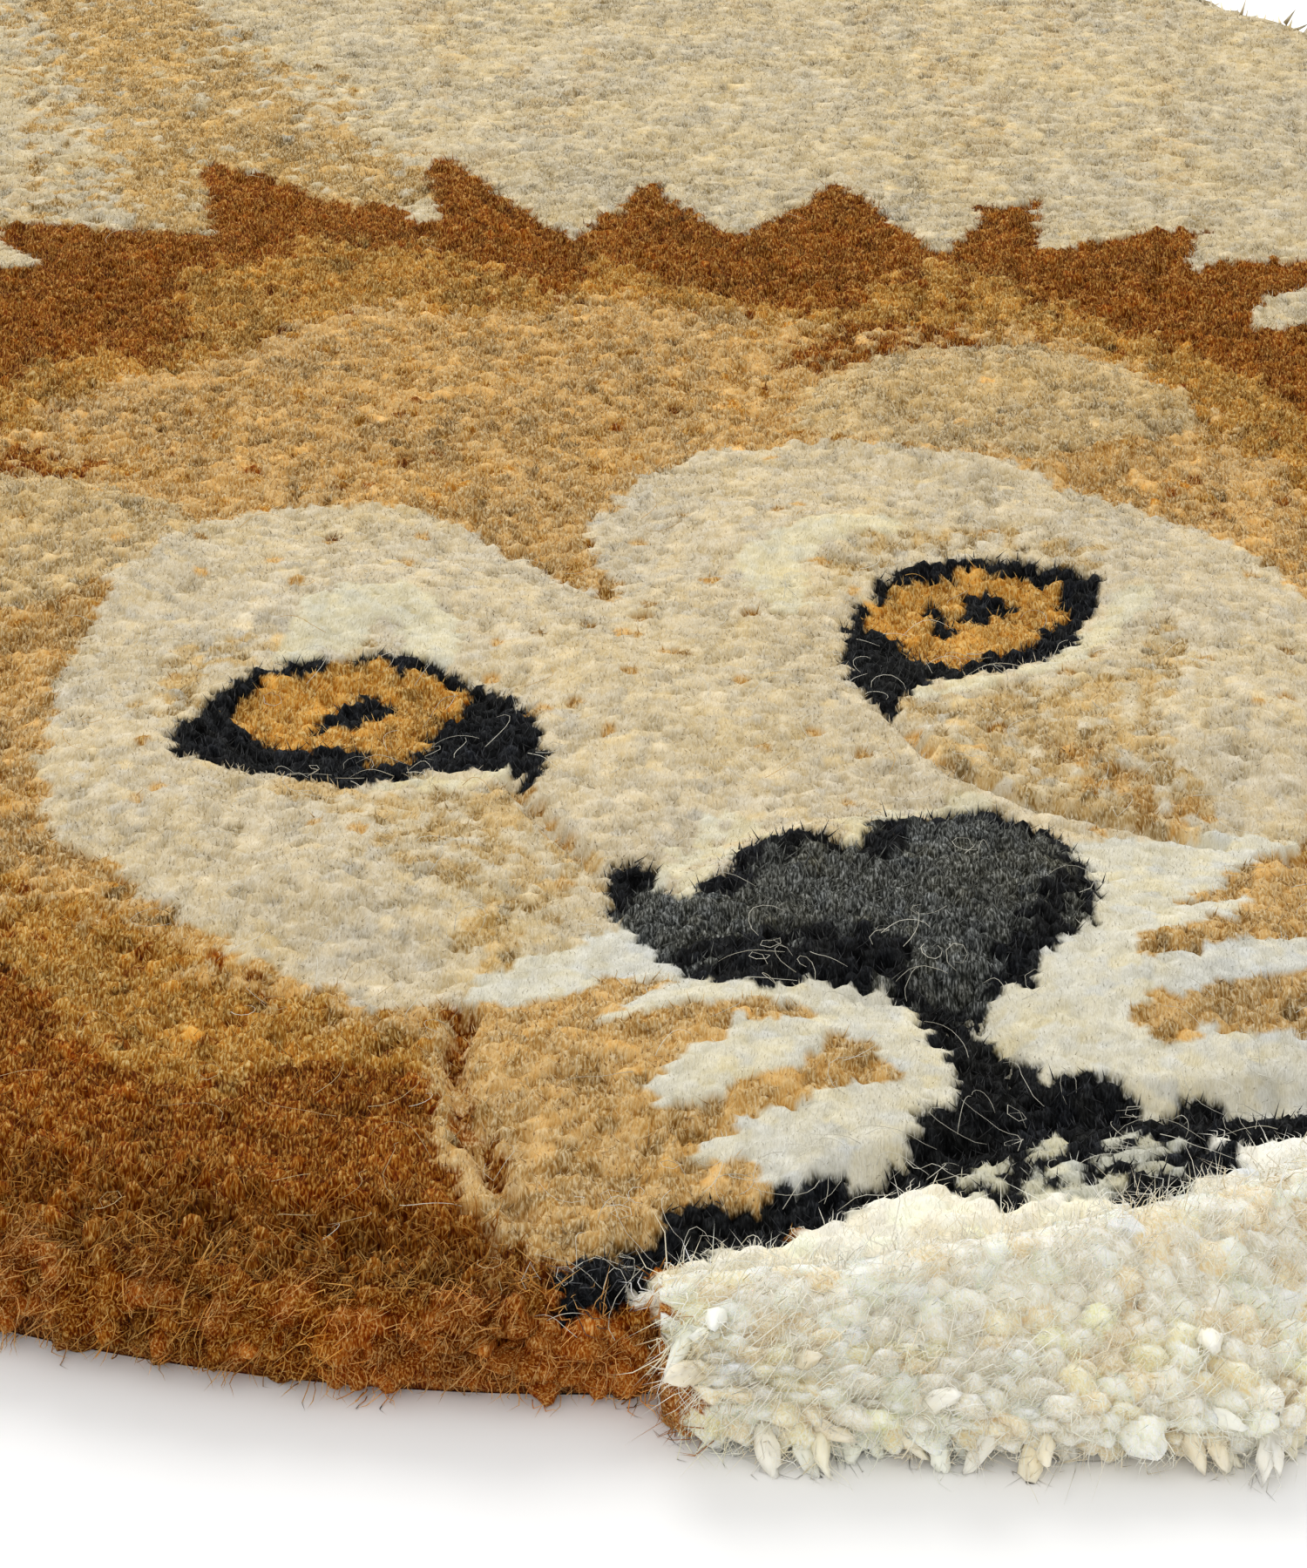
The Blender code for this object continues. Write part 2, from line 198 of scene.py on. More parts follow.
def outward_of(run: Array) -> Array:
    """The unit direction out of a counterclockwise outline for each run along it."""
    run = run / np.hypot(*run.T)[:, None]
    return np.stack([run[:, 1], -run[:, 0]], axis=1)


def is_inside(points: Array, loop: Array) -> Array:
    """Whether each point lies inside a closed line."""
    inside = np.zeros(len(points), bool)
    x, y = points[:, 0], points[:, 1]
    for (x0, y0), (x1, y1) in zip(loop, np.roll(loop, -1, axis=0)):
        if y0 == y1:
            continue
        crosses = (y0 > y) != (y1 > y)
        inside ^= crosses & (x < x0 + (y - y0) / (y1 - y0) * (x1 - x0))
    return inside


def distance_to_line(points: Array, line: Array) -> Array:
    """The distance of each point from an open line of straight runs."""
    nearest = np.full(len(points), np.inf)
    for start, end in zip(line[:-1], line[1:]):
        run = end - start
        share = np.clip(((points - start) @ run) / max(run @ run, 1e-18), 0.0, 1.0)
        nearest = np.minimum(nearest, np.hypot(*(points - start - share[:, None] * run).T))
    return nearest


def nearest(points: Array, places: Array) -> tuple[Array, Array]:
    """The distance and number of the place that is nearest to each point."""
    tree = KDTree(len(places))
    for number, (x, y) in enumerate(places):
        tree.insert((x, y, 0.0), number)
    tree.balance()
    found = [tree.find((x, y, 0.0))[1:] for x, y in points]
    return np.array([distance for _, distance in found]), np.array([number for number, _ in found])


def hexagon_field(low: Array, high: Array, pitch: float, chance: Chance,
                  jitter: float = 0.2) -> Array:
    """Points in even triangles, each moved a little at random.

    Args:
        low: lowest corner of the field.
        high: highest corner.
        pitch: distance between neighbours.
        chance: the source of random numbers.
        jitter: the most that a point moves, as a share of the pitch.

    Returns:
        The points, as rows of x and y.
    """
    rise = pitch * math.sqrt(0.75)
    columns = np.arange(int((high[0] - low[0]) / pitch) + 2)
    lines = np.arange(int((high[1] - low[1]) / rise) + 2)
    column, line = np.meshgrid(columns, lines)
    x = low[0] + (column + 0.5 * (line % 2)) * pitch
    y = low[1] + line * rise
    points = np.stack([x.ravel(), y.ravel()], axis=1)
    return points + chance.uniform(-jitter, jitter, points.shape) * pitch


# ---- the rug's shape ----

@dataclass
class PeltShape:
    """The rug's outline and the height of its pile, in the head's frame, and where that frame lies."""

    head_y: float = 0.0
    pile_height: float = 0.018
    mane_centre: float = 0.039
    mane_radius: float = 0.256
    mane_end_angle: float = 12.0
    mane_keys: int = 8
    curve_steps: int = 12
    lump_rise: float = 0.0007
    lump_size: float = 0.016
    right_side: Keys = (
        (264, 113), (330, 128), (405, 118), (462, 98), (502, 124), (507, 172), (476, 218), (430, 252),
        (378, 314), (337, 376), (327, 460), (298, 600), (306, 690), (345, 785), (405, 857), (466, 903),
        (504, 955), (482, 1012), (420, 1018), (345, 976), (255, 933), (140, 936), (56, 966), (34, 1035),
        (32, 1120), (50, 1176), (33, 1229), (0, 1250))
    # across, along, half width, half length, rise and fading share of the raised and sunk ovals
    ovals: Sequence[tuple[float, ...]] = (
        (66, -4, 68, 104, 2.2, 0.35), (43, -143, 47, 40, 5.5, 1.0), (0, -106, 46, 35, 4.5, 0.40),
        (0, -25, 36, 80, 3.2, 1.0), (54, 44, 34, 22, 2.2, 1.0), (66, -6, 38, 28, -3.6, 0.55),
        (92, -68, 44, 42, 2.2, 1.0), (115, 94, 50, 46, 3.0, 0.35), (0, -208, 80, 22, 2.0, 0.80))
    # half width, depth and route of the lines carved into the face
    grooves: Sequence[tuple[float, float, Keys]] = (
        (3.2, 4.2, ((-78, -115), (-83, -124), (-87, -142), (-88, -158), (-87, -172))),
        (3.2, 4.2, ((77, -113), (83, -124), (87, -142), (88, -158), (87, -172))),
        (3.0, 3.0, ((-46, -40), (-45, -55), (-43, -68), (-42, -78))),
        (3.0, 3.0, ((31, -38), (31, -52), (33, -66), (42, -81), (55, -95), (67, -105))),
        (7.5, 3.6, ((-75, -187), (-54, -186), (-28, -181), (0, -173), (28, -181), (54, -186), (75, -187))),
        (7.0, 2.4, ((0, -140), (0, -156), (0, -172))))

    def outline(self) -> Array:
        """The rug's closed outline, counterclockwise from the middle of the chin."""
        angles = np.radians(np.linspace(-90.0, self.mane_end_angle, self.mane_keys + 1))
        mane = np.stack([self.mane_radius * np.cos(angles),
                         self.mane_centre + self.mane_radius * np.sin(angles)], axis=1)
        mane[0, 0] = 0.0
        right = np.vstack([mane, np.array(self.right_side) * MM])
        left = right[-2:0:-1] * (-1.0, 1.0)
        return smooth_loop(np.vstack([right, left]), self.curve_steps)

    def depth_inside(self, points: Array) -> Array:
        """How far each point lies inside the outline; negative outside."""
        loop = self.outline()
        depth = distance_to_line(points, np.vstack([loop, loop[:1]]))
        return np.where(is_inside(points, loop), depth, -depth)

    def pile_top(self, points: Array) -> Array:
        """The height of the pile at each point, without the roughness of single tufts."""
        folded = np.stack([np.abs(points[:, 0]), points[:, 1]], axis=1)
        rise = np.zeros(len(points))
        for across, along, half_width, half_length, lift, edge in self.ovals:
            from_middle = np.hypot((folded[:, 0] - across * MM) / (half_width * MM),
                                   (folded[:, 1] - along * MM) / (half_length * MM))
            rise += lift * MM * smoothstep((1.0 - from_middle) / edge)
        deepest = np.zeros(len(points))
        for half_width, depth, route in self.grooves:
            near = distance_to_line(points, np.array(route, float) * MM)
            deepest = np.maximum(deepest, depth * MM * smoothstep(1.0 - near / (half_width * MM)))
        return self.pile_height + rise - deepest + self.lump_rise * drift(points, self.lump_size, 3)

    def placed(self, corners: Array) -> Array:
        """Places of the head's frame, in the row's frame."""
        return corners + (0.0, self.head_y, 0.0)

    def turn(self, points: Array) -> Array:
        """Degrees round the mane from the chin, 0, to the crown, 180, on either side."""
        return np.degrees(np.arctan2(np.abs(points[:, 0]), self.mane_centre - points[:, 1]))

    def mane_reach(self, points: Array) -> Array:
        """The distance of each point from the middle of the mane."""
        return np.hypot(points[:, 0], points[:, 1] - self.mane_centre)


# ---- the drawing ----

class Yarn(Enum):
    """The dyed yarns, as red, green and blue from 0 to 255."""

    CREAM = (193, 177, 143)
    STRIPE = (182, 151, 98)
    DARK = (136, 81, 22)
    MID = (172, 126, 57)
    TAN = (190, 153, 96)
    RING = (203, 187, 154)
    WHITE = (210, 205, 186)
    PALE = (213, 202, 168)
    EAR = (191, 165, 118)
    BLACK = (27, 28, 29)
    GREY = (77, 78, 73)
    AMBER = (188, 140, 67)
    MUZZLE_TAN = (191, 156, 101)
    CHIN = (246, 240, 221)
    LIP = (186, 184, 166)
    RUST = (160, 97, 36)

    def linear(self) -> Array:
        """The colour as linear light from 0 to 1."""
        value = np.array(self.value) / 255.0
        return np.where(value <= 0.04045, value / 12.92, ((value + 0.055) / 1.055) ** 2.4)


@dataclass(frozen=True)
class Patch:
    """An area of one yarn, with the points that its edge passes through, in millimetres."""

    name: str
    yarn: Yarn
    keys: Keys
    ragged: float = 1.0
    share: float = 1.0
    mirrored: bool = False


@dataclass(frozen=True)
class Stripe:
    """A tapering line of one yarn: its points and its half width at each end, in millimetres."""

    name: str
    yarn: Yarn
    route: Keys
    half_widths: tuple[float, float]
    share: float = 1.0
    mirrored: bool = False


def there_and_back(*keys: tuple[float, float]) -> Keys:
    """Points on one side of the face, then their mirror images on the other in the opposite order."""
    return (*keys, *((-across, along) for across, along in reversed(keys)))


MANE_EDGE_RIGHT: Keys = (
    (-8, 338), (0, 331), (8, 318), (14, 300), (20, 290), (26, 292), (30, 284), (34, 268), (39, 277),
    (43, 298), (48, 313), (53, 323), (57, 304), (60, 279), (66, 248), (74, 256), (84, 265), (92, 273),
    (100, 282), (101, 262), (103, 246), (107, 233), (117, 240), (128, 249), (138, 257), (148, 263),
    (149, 240), (149, 221), (152, 205), (160, 211), (168, 219), (178, 237), (180, 226), (192, 233),
    (186, 220), (180, 207), (176, 195), (190, 197), (206, 198), (223, 196), (214, 184), (205, 170),
    (216, 170), (227, 168), (240, 163), (226, 148), (213, 143), (202, 130), (206, 124), (226, 127),
    (250, 121), (300, 90))
MANE_EDGE_LEFT: Keys = (
    (-300, 90), (-250, 121), (-226, 127), (-206, 124), (-202, 130), (-213, 143), (-226, 148),
    (-240, 163), (-227, 168), (-205, 170), (-214, 184), (-223, 196), (-190, 197), (-176, 195),
    (-192, 233), (-168, 219), (-152, 205), (-149, 240), (-148, 263), (-128, 249), (-107, 233),
    (-101, 262), (-97, 286), (-84, 281), (-69, 272), (-73, 290), (-71, 305), (-60, 304), (-46, 298),
    (-31, 290), (-21, 283), (-18, 300), (-14, 322))

CHIN_EDGE: Keys = (
    (0, -183), (-21, -186), (-30, -187), (-40, -188), (-50, -191), (-55, -193), (-61, -189), (-68, -193),
    (-75, -194), (-78, -203), (-77, -230), (-80, -300), (80, -300), (77, -230), (78, -203), (75, -194),
    (64, -193), (50, -192), (36, -193), (26, -191), (14, -187))
LIP_EDGE: Keys = ((-24, -190), (-20, -186), (-14, -184), (-7, -182), (4, -182), (9, -184), (14, -188),
                  (20, -191), (24, -192), (22, -197), (14, -201), (9, -202), (3, -205), (-3, -205),
                  (-6, -202), (-10, -199), (-16, -197), (-21, -194))

PATCHES: Sequence[Patch | Stripe] = (
    Patch("halo of the stripe", Yarn.STRIPE,
        ((-62, 290), (-52, 360), (-44, 420), (-36, 500), (-30, 600), (30, 600), (34, 500), (38, 430),
         (54, 400), (44, 350), (50, 290)), 4.0, 0.35),
    Patch("stripe along the back", Yarn.STRIPE,
        ((-36, 290), (-31, 350), (-28, 400), (-24, 450), (-22, 520), (-27, 620), (-31, 720), (-27, 820),
         (-20, 900), (-15, 960), (-13, 1040), (-11, 1120), (11, 1120), (13, 1040), (15, 960), (20, 900),
         (27, 820), (31, 720), (27, 620), (28, 520), (25, 450), (29, 400), (35, 350), (40, 290)), 2.5, 0.86),
    Patch("tail tuft", Yarn.DARK,
        ((-70, 1160), (-40, 1128), (-20, 1150), (0, 1122), (20, 1150), (40, 1128), (70, 1160), (60, 1270),
         (-60, 1270)), 2.0),
    Patch("mane", Yarn.DARK, (*MANE_EDGE_RIGHT, (300, -300), (-300, -300), *MANE_EDGE_LEFT), 0.9),
    Patch("mane, inner part", Yarn.MID,
        ((0, 272), (12, 258), (24, 250), (36, 246), (42, 228), (50, 205), (56, 214), (66, 228), (74, 214),
         (84, 196), (95, 186), (110, 174), (120, 178), (134, 190), (148, 198), (154, 180), (162, 160),
         *there_and_back((170, 138), (178, 112), (184, 88), (186, 60), (184, 30), (178, -10), (166, -36),
         (148, -60), (142, -85), (136, -106), (122, -119), (104, -124), (90, -128), (84, -138), (60, -190)),
         (-160, 165), (-148, 182), (-128, 176), (-110, 182), (-92, 198), (-76, 212), (-58, 200), (-48, 206),
         (-42, 236), (-36, 256), (-22, 256), (-10, 263)), 5.0, 0.93),
    Patch("forehead and cheeks", Yarn.TAN,
        ((0, 216), (20, 206), (40, 197), (60, 204), *there_and_back((80, 182), (98, 166), (112, 158),
         (134, 152), (152, 138), (163, 116), (168, 92), (166, 60), (160, 30), (152, -5), (142, -38),
         (128, -62), (116, -84), (100, -106), (80, -116)), (-60, 190), (-40, 197), (-20, 206)), 5.0, 0.92),
    Patch("shade above the ear", Yarn.DARK,
        ((84, 134), (92, 150), (106, 164), (122, 160), (132, 148), (130, 138), (110, 136)), 3.0, 0.7,
         mirrored=True),
    Patch("shade beside the ear", Yarn.MID,
        ((156, 124), (172, 128), (182, 100), (180, 70), (166, 56), (156, 66), (162, 92)), 3.0, 0.75,
         mirrored=True),
    Patch("rim of the mane", Yarn.RUST,
        ((-300, -40), (-238, -60), (-214, -100), (-180, -134), (-130, -178), (-100, -190), (0, -200),
         (100, -190), (130, -178), (180, -134), (214, -100), (238, -60), (300, -40), (300, -300),
         (-300, -300)), 3.0, 0.8),
    Patch("ear", Yarn.EAR,
        ((70, 102), (76, 118), (88, 131), (104, 139), (120, 141), (138, 136), (152, 124), (160, 108),
         (162, 92), (158, 76), (146, 68), (128, 66), (108, 68), (92, 76), (78, 88)), 1.4, 0.97,
         mirrored=True),
    Patch("pale face", Yarn.RING,
        ((-80, -110), (-95, -99), (-106, -88), (-112, -76), (-117, -62), (-122, -45), (-128, -25),
         (-126, -5), (-121, 15), (-115, 33), (-107, 50), (-98, 65), (-86, 82), (-70, 96), (-52, 101),
         (-36, 97), (-24, 88), (-16, 72), (-11, 56), (-5, 40), (0, 26), (3, 40), (4, 56), (12, 74), (26, 90),
         (48, 98), (68, 95), (84, 80), (100, 66), (113, 50), (123, 36), (131, 18), (134, 0), (131, -25),
         (125, -48), (118, -66), (108, -84), (96, -98), (80, -110)), 1.2, 0.985),
    Patch("band over the eye", Yarn.EAR,
        ((44, 22), (58, 34), (76, 38), (92, 30), (104, 14), (98, 6), (84, 22), (66, 27), (52, 20)),
         2.5, 0.45, mirrored=True),
    Patch("white over the left eye", Yarn.PALE,
        ((-76, 22), (-67, 33), (-64, 43), (-57, 47), (-51, 50), (-42, 47), (-37, 42), (-34, 30), (-38, 15),
         (-43, 7), (-47, 12), (-47, 33), (-51, 33), (-57, 23), (-64, 24)), 0.8),
    Patch("white over the right eye", Yarn.PALE,
        ((28, 10), (26, 28), (32, 40), (44, 46), (58, 47), (68, 43), (66, 37), (54, 38), (44, 33), (38, 22),
         (35, 10)), 0.8),
    Patch("tan under the left eye", Yarn.EAR,
        ((-89, -23), (-79, -30), (-70, -38), (-57, -42), (-49, -41), (-43, -45), (-43, -58), (-50, -59),
         (-59, -56), (-65, -55), (-73, -49), (-80, -41), (-88, -32)), 2.0, 0.85),
    Patch("tan between the left eye and the muzzle", Yarn.EAR,
        ((-78, -45), (-67, -52), (-56, -58), (-45, -64), (-42, -79), (-49, -86), (-59, -86), (-64, -84),
         (-70, -72), (-76, -60)), 3.0, 0.55),
    Patch("spot on the left cheek", Yarn.EAR,
        ((-66, -83), (-61, -87), (-62, -94), (-67, -102), (-71, -106), (-74, -100), (-71, -92)), 1.5, 0.85),
    Patch("tan under the right eye", Yarn.EAR,
        ((36, -38), (48, -36), (58, -36), (67, -41), (83, -35), (96, -24), (103, -14), (98, -34), (86, -50),
         (76, -62), (72, -78), (72, -96), (70, -106), (63, -105), (54, -95), (43, -82), (35, -69),
         (33, -52)), 2.5, 0.75),
    Patch("darker tan under the right eye", Yarn.TAN,
        ((57, -60), (64, -74), (69, -88), (71, -99), (68, -105), (60, -98), (55, -88), (53, -74)),
         2.0, 0.6),
    Stripe("crease beside the bridge, left", Yarn.TAN, ((-45, -45), (-43, -70)), (1.6, 1.2), 0.8),
    Stripe("crease beside the bridge, right", Yarn.TAN, ((31, -40), (33, -66)), (1.2, 1.4), 0.7),
    Stripe("light under the left eye", Yarn.PALE, ((-70, -34), (-60, -37), (-48, -38)), (2.0, 2.4)),
    Stripe("light under the right eye", Yarn.PALE, ((100, -7), (86, -18), (75, -27), (64, -31)), (3.8, 2.6)),
    Stripe("light at the right eye's corner", Yarn.PALE, ((58, -33), (40, -33)), (1.6, 2.0), 0.8),
    Patch("rim of the left eye", Yarn.BLACK,
        ((-102, -5), (-95, 6), (-88, 14), (-78, 20), (-67, 22), (-57, 20), (-49, 17), (-43, 10), (-38, 1),
         (-35, -9), (-34, -20), (-36, -31), (-41, -43), (-46, -37), (-51, -33), (-60, -31), (-70, -32),
         (-79, -28), (-88, -19), (-97, -12)), 0.5),
    Patch("rim of the right eye", Yarn.BLACK,
        ((97, 5), (88, 15), (78, 20), (66, 21), (55, 18), (47, 12), (41, 4), (36, -4), (31, -14), (29, -25),
         (30, -39), (37, -35), (45, -30), (56, -28), (67, -26), (77, -21), (86, -12), (94, -4)), 0.5),
    Patch("left iris", Yarn.AMBER,
        ((-87, 7), (-78, 17), (-71, 19), (-64, 19), (-58, 20), (-52, 14), (-47, 9), (-41, 4), (-44, -4),
         (-50, -10), (-55, -15), (-63, -20), (-67, -12), (-72, -9), (-79, -7), (-84, -2)), 0.5),
    Patch("right iris", Yarn.AMBER,
        ((44, 3), (48, -4), (47, -11), (51, -19), (56, -20), (64, -17), (71, -16), (79, -8), (86, -5),
         (88, 3), (85, 10), (77, 16), (67, 17), (61, 16), (55, 14), (48, 9)), 0.5),
    Patch("left pupil", Yarn.BLACK,
        ((-74, -3), (-69, 4), (-65, 5), (-61, 9), (-58, 6), (-55, 2), (-59, -1), (-65, -2), (-69, -1)),
         0.3),
    Stripe("right pupil, small part", Yarn.BLACK, ((60, 8), (61, 2), (59, -4)), (1.7, 1.7)),
    Patch("right pupil", Yarn.BLACK,
        ((68, 8), (73, 9), (78, 6), (75, 1), (71, 1), (68, -4), (65, -1), (66, 4)), 0.3),
    Patch("muzzle", Yarn.WHITE,
         (*there_and_back((-72, -103), (-79, -110), (-84, -126), (-88, -146), (-87, -166), (-82, -184),
         (-40, -190)), (60, -100), (44, -98), (0, -100), (-44, -98), (-60, -100)), 0.8),
    Patch("tan of the muzzle, left", Yarn.MUZZLE_TAN,
        ((-77, -111), (-72, -113), (-65, -114), (-58, -115), (-52, -113), (-49, -113), (-45, -117),
         (-43, -121), (-47, -122), (-52, -123), (-53, -128), (-52, -132), (-48, -131), (-45, -130),
         (-39, -132), (-33, -133), (-27, -135), (-27, -138), (-29, -141), (-32, -140), (-36, -142),
         (-37, -139), (-41, -137), (-43, -141), (-49, -142), (-53, -146), (-59, -149), (-59, -155),
         (-54, -156), (-46, -155), (-37, -154), (-30, -151), (-28, -146), (-25, -148), (-21, -150),
         (-18, -156), (-22, -159), (-27, -159), (-31, -160), (-36, -163), (-43, -163), (-51, -164),
         (-58, -168), (-52, -171), (-50, -176), (-52, -182), (-66, -184), (-82, -188), (-90, -180),
         (-93, -167), (-94, -155), (-92, -140), (-86, -120)), 0.5),
    Patch("light spot of the muzzle, left", Yarn.WHITE,
        ((-60, -127), (-58, -125), (-55, -127), (-57, -130), (-60, -129)), 0.5),
    Patch("tan of the muzzle, right", Yarn.MUZZLE_TAN,
        ((77, -111), (66, -115), (58, -121), (52, -122), (46, -128), (52, -127), (62, -128), (52, -133),
         (45, -135), (40, -134), (35, -134), (32, -139), (32, -144), (40, -144), (46, -144), (54, -144),
         (62, -146), (70, -150), (57, -154), (49, -153), (38, -154), (31, -152), (23, -156), (23, -159),
         (26, -162), (27, -167), (30, -164), (34, -163), (40, -166), (48, -169), (58, -172), (51, -176),
         (52, -182), (66, -184), (82, -188), (90, -180), (93, -167), (94, -155), (92, -140), (86, -120)),
         0.5),
    # darker yarn along the carved crease at the muzzle's side: partly a dark line of the rug's own, partly
    # painted shade in the crease
    Stripe("crease beside the muzzle", Yarn.DARK,
        ((79, -116), (83, -124), (87, -142), (88, -158)), (1.3, 2.0), 0.85, mirrored=True),
    Patch("light above the nose, left", Yarn.PALE,
        ((-34, -84), (-28, -74), (-19, -67), (-10, -68), (-10, -82), (-20, -92), (-34, -94)), 1.5, 0.8),
    Patch("light above the nose, right", Yarn.PALE,
        ((0, -90), (5, -80), (14, -76), (22, -73), (32, -74), (32, -84), (16, -90)), 1.5, 0.7),
    Patch("nose", Yarn.GREY,
        ((-9, -140), (-14, -134), (-22, -130), (-32, -127), (-39, -119), (-43, -102), (-45, -92),
         (-43, -84), (-38, -78), (-34, -80), (-33, -90), (-29, -93), (-22, -88), (-17, -86), (-13, -79),
         (-5, -81), (0, -88), (2, -90), (7, -85), (14, -83), (18, -82), (24, -80), (33, -81), (37, -87),
         (39, -100), (39, -108), (36, -118), (29, -127), (20, -133), (8, -139), (0, -142)), 0.6),
    Patch("nose, lower band", Yarn.BLACK,
        ((-9, -139), (-15, -135), (-22, -132), (-32, -128), (-37, -124), (-40, -117), (-41, -111),
         (-36, -107), (-28, -110), (-20, -113), (-12, -115), (-5, -119), (-3, -126), (-4, -134)), 0.8, 0.94),
    Patch("nose, left lobe", Yarn.BLACK,
        ((-45, -90), (-42, -82), (-38, -77), (-33, -79), (-34, -86), (-38, -86), (-42, -92)), 0.7, 0.85),
    Patch("nose, upper spots left", Yarn.BLACK,
        ((-28, -93), (-24, -89), (-18, -86), (-13, -79), (-5, -80), (0, -87), (-2, -91), (-13, -88),
         (-16, -90), (-21, -95), (-25, -97)), 1.5, 0.82),
    Patch("nose, upper spots right", Yarn.BLACK,
        ((2, -91), (7, -85), (14, -83), (13, -89), (8, -95), (3, -96)), 0.8, 0.85),
    Patch("nose, top rim", Yarn.BLACK,
        ((16, -83), (24, -79), (33, -80), (38, -86), (39, -94), (36, -93), (33, -86), (27, -84), (20, -86)),
         0.8, 0.85),
    Patch("nose, right rim", Yarn.BLACK,
        ((38, -90), (40, -100), (40, -108), (37, -117), (29, -128), (20, -134), (8, -141), (9, -134),
         (16, -126), (23, -119), (30, -112), (34, -106), (37, -100), (37, -94)), 1.8, 0.85),
    Patch("chin", Yarn.CHIN, CHIN_EDGE, 0.7),
    Patch("line under the nose", Yarn.BLACK,
        ((-6, -137), (-9, -144), (-10, -160), (-13, -168), (-22, -172), (-20, -180), (0, -183), (14, -182),
         (14, -173), (8, -168), (4, -160), (2, -152), (3, -143), (2, -139)), 0.9),
    Patch("mouth, left", Yarn.BLACK,
        ((-13, -169), (-22, -170), (-25, -178), (-30, -177), (-33, -180), (-38, -178), (-43, -180),
         (-49, -177), (-53, -182), (-60, -178), (-65, -178), (-70, -183), (-76, -185), (-84, -187),
         (-89, -192), (-87, -199), (-80, -199), (-74, -192), (-66, -192), (-61, -187), (-57, -189),
         (-55, -193), (-50, -190), (-40, -187), (-30, -186), (-21, -185), (0, -182)), 0.6),
    Patch("mouth, right", Yarn.BLACK,
        ((8, -166), (13, -169), (17, -173), (15, -180), (14, -184), (17, -180), (22, -177), (27, -175),
         (30, -182), (41, -183), (48, -179), (54, -182), (62, -178), (70, -182), (78, -186), (85, -189),
         (89, -194), (86, -200), (79, -200), (73, -194), (64, -193), (55, -193), (46, -192), (36, -193),
         (26, -191), (14, -187), (0, -182)), 0.6),
)


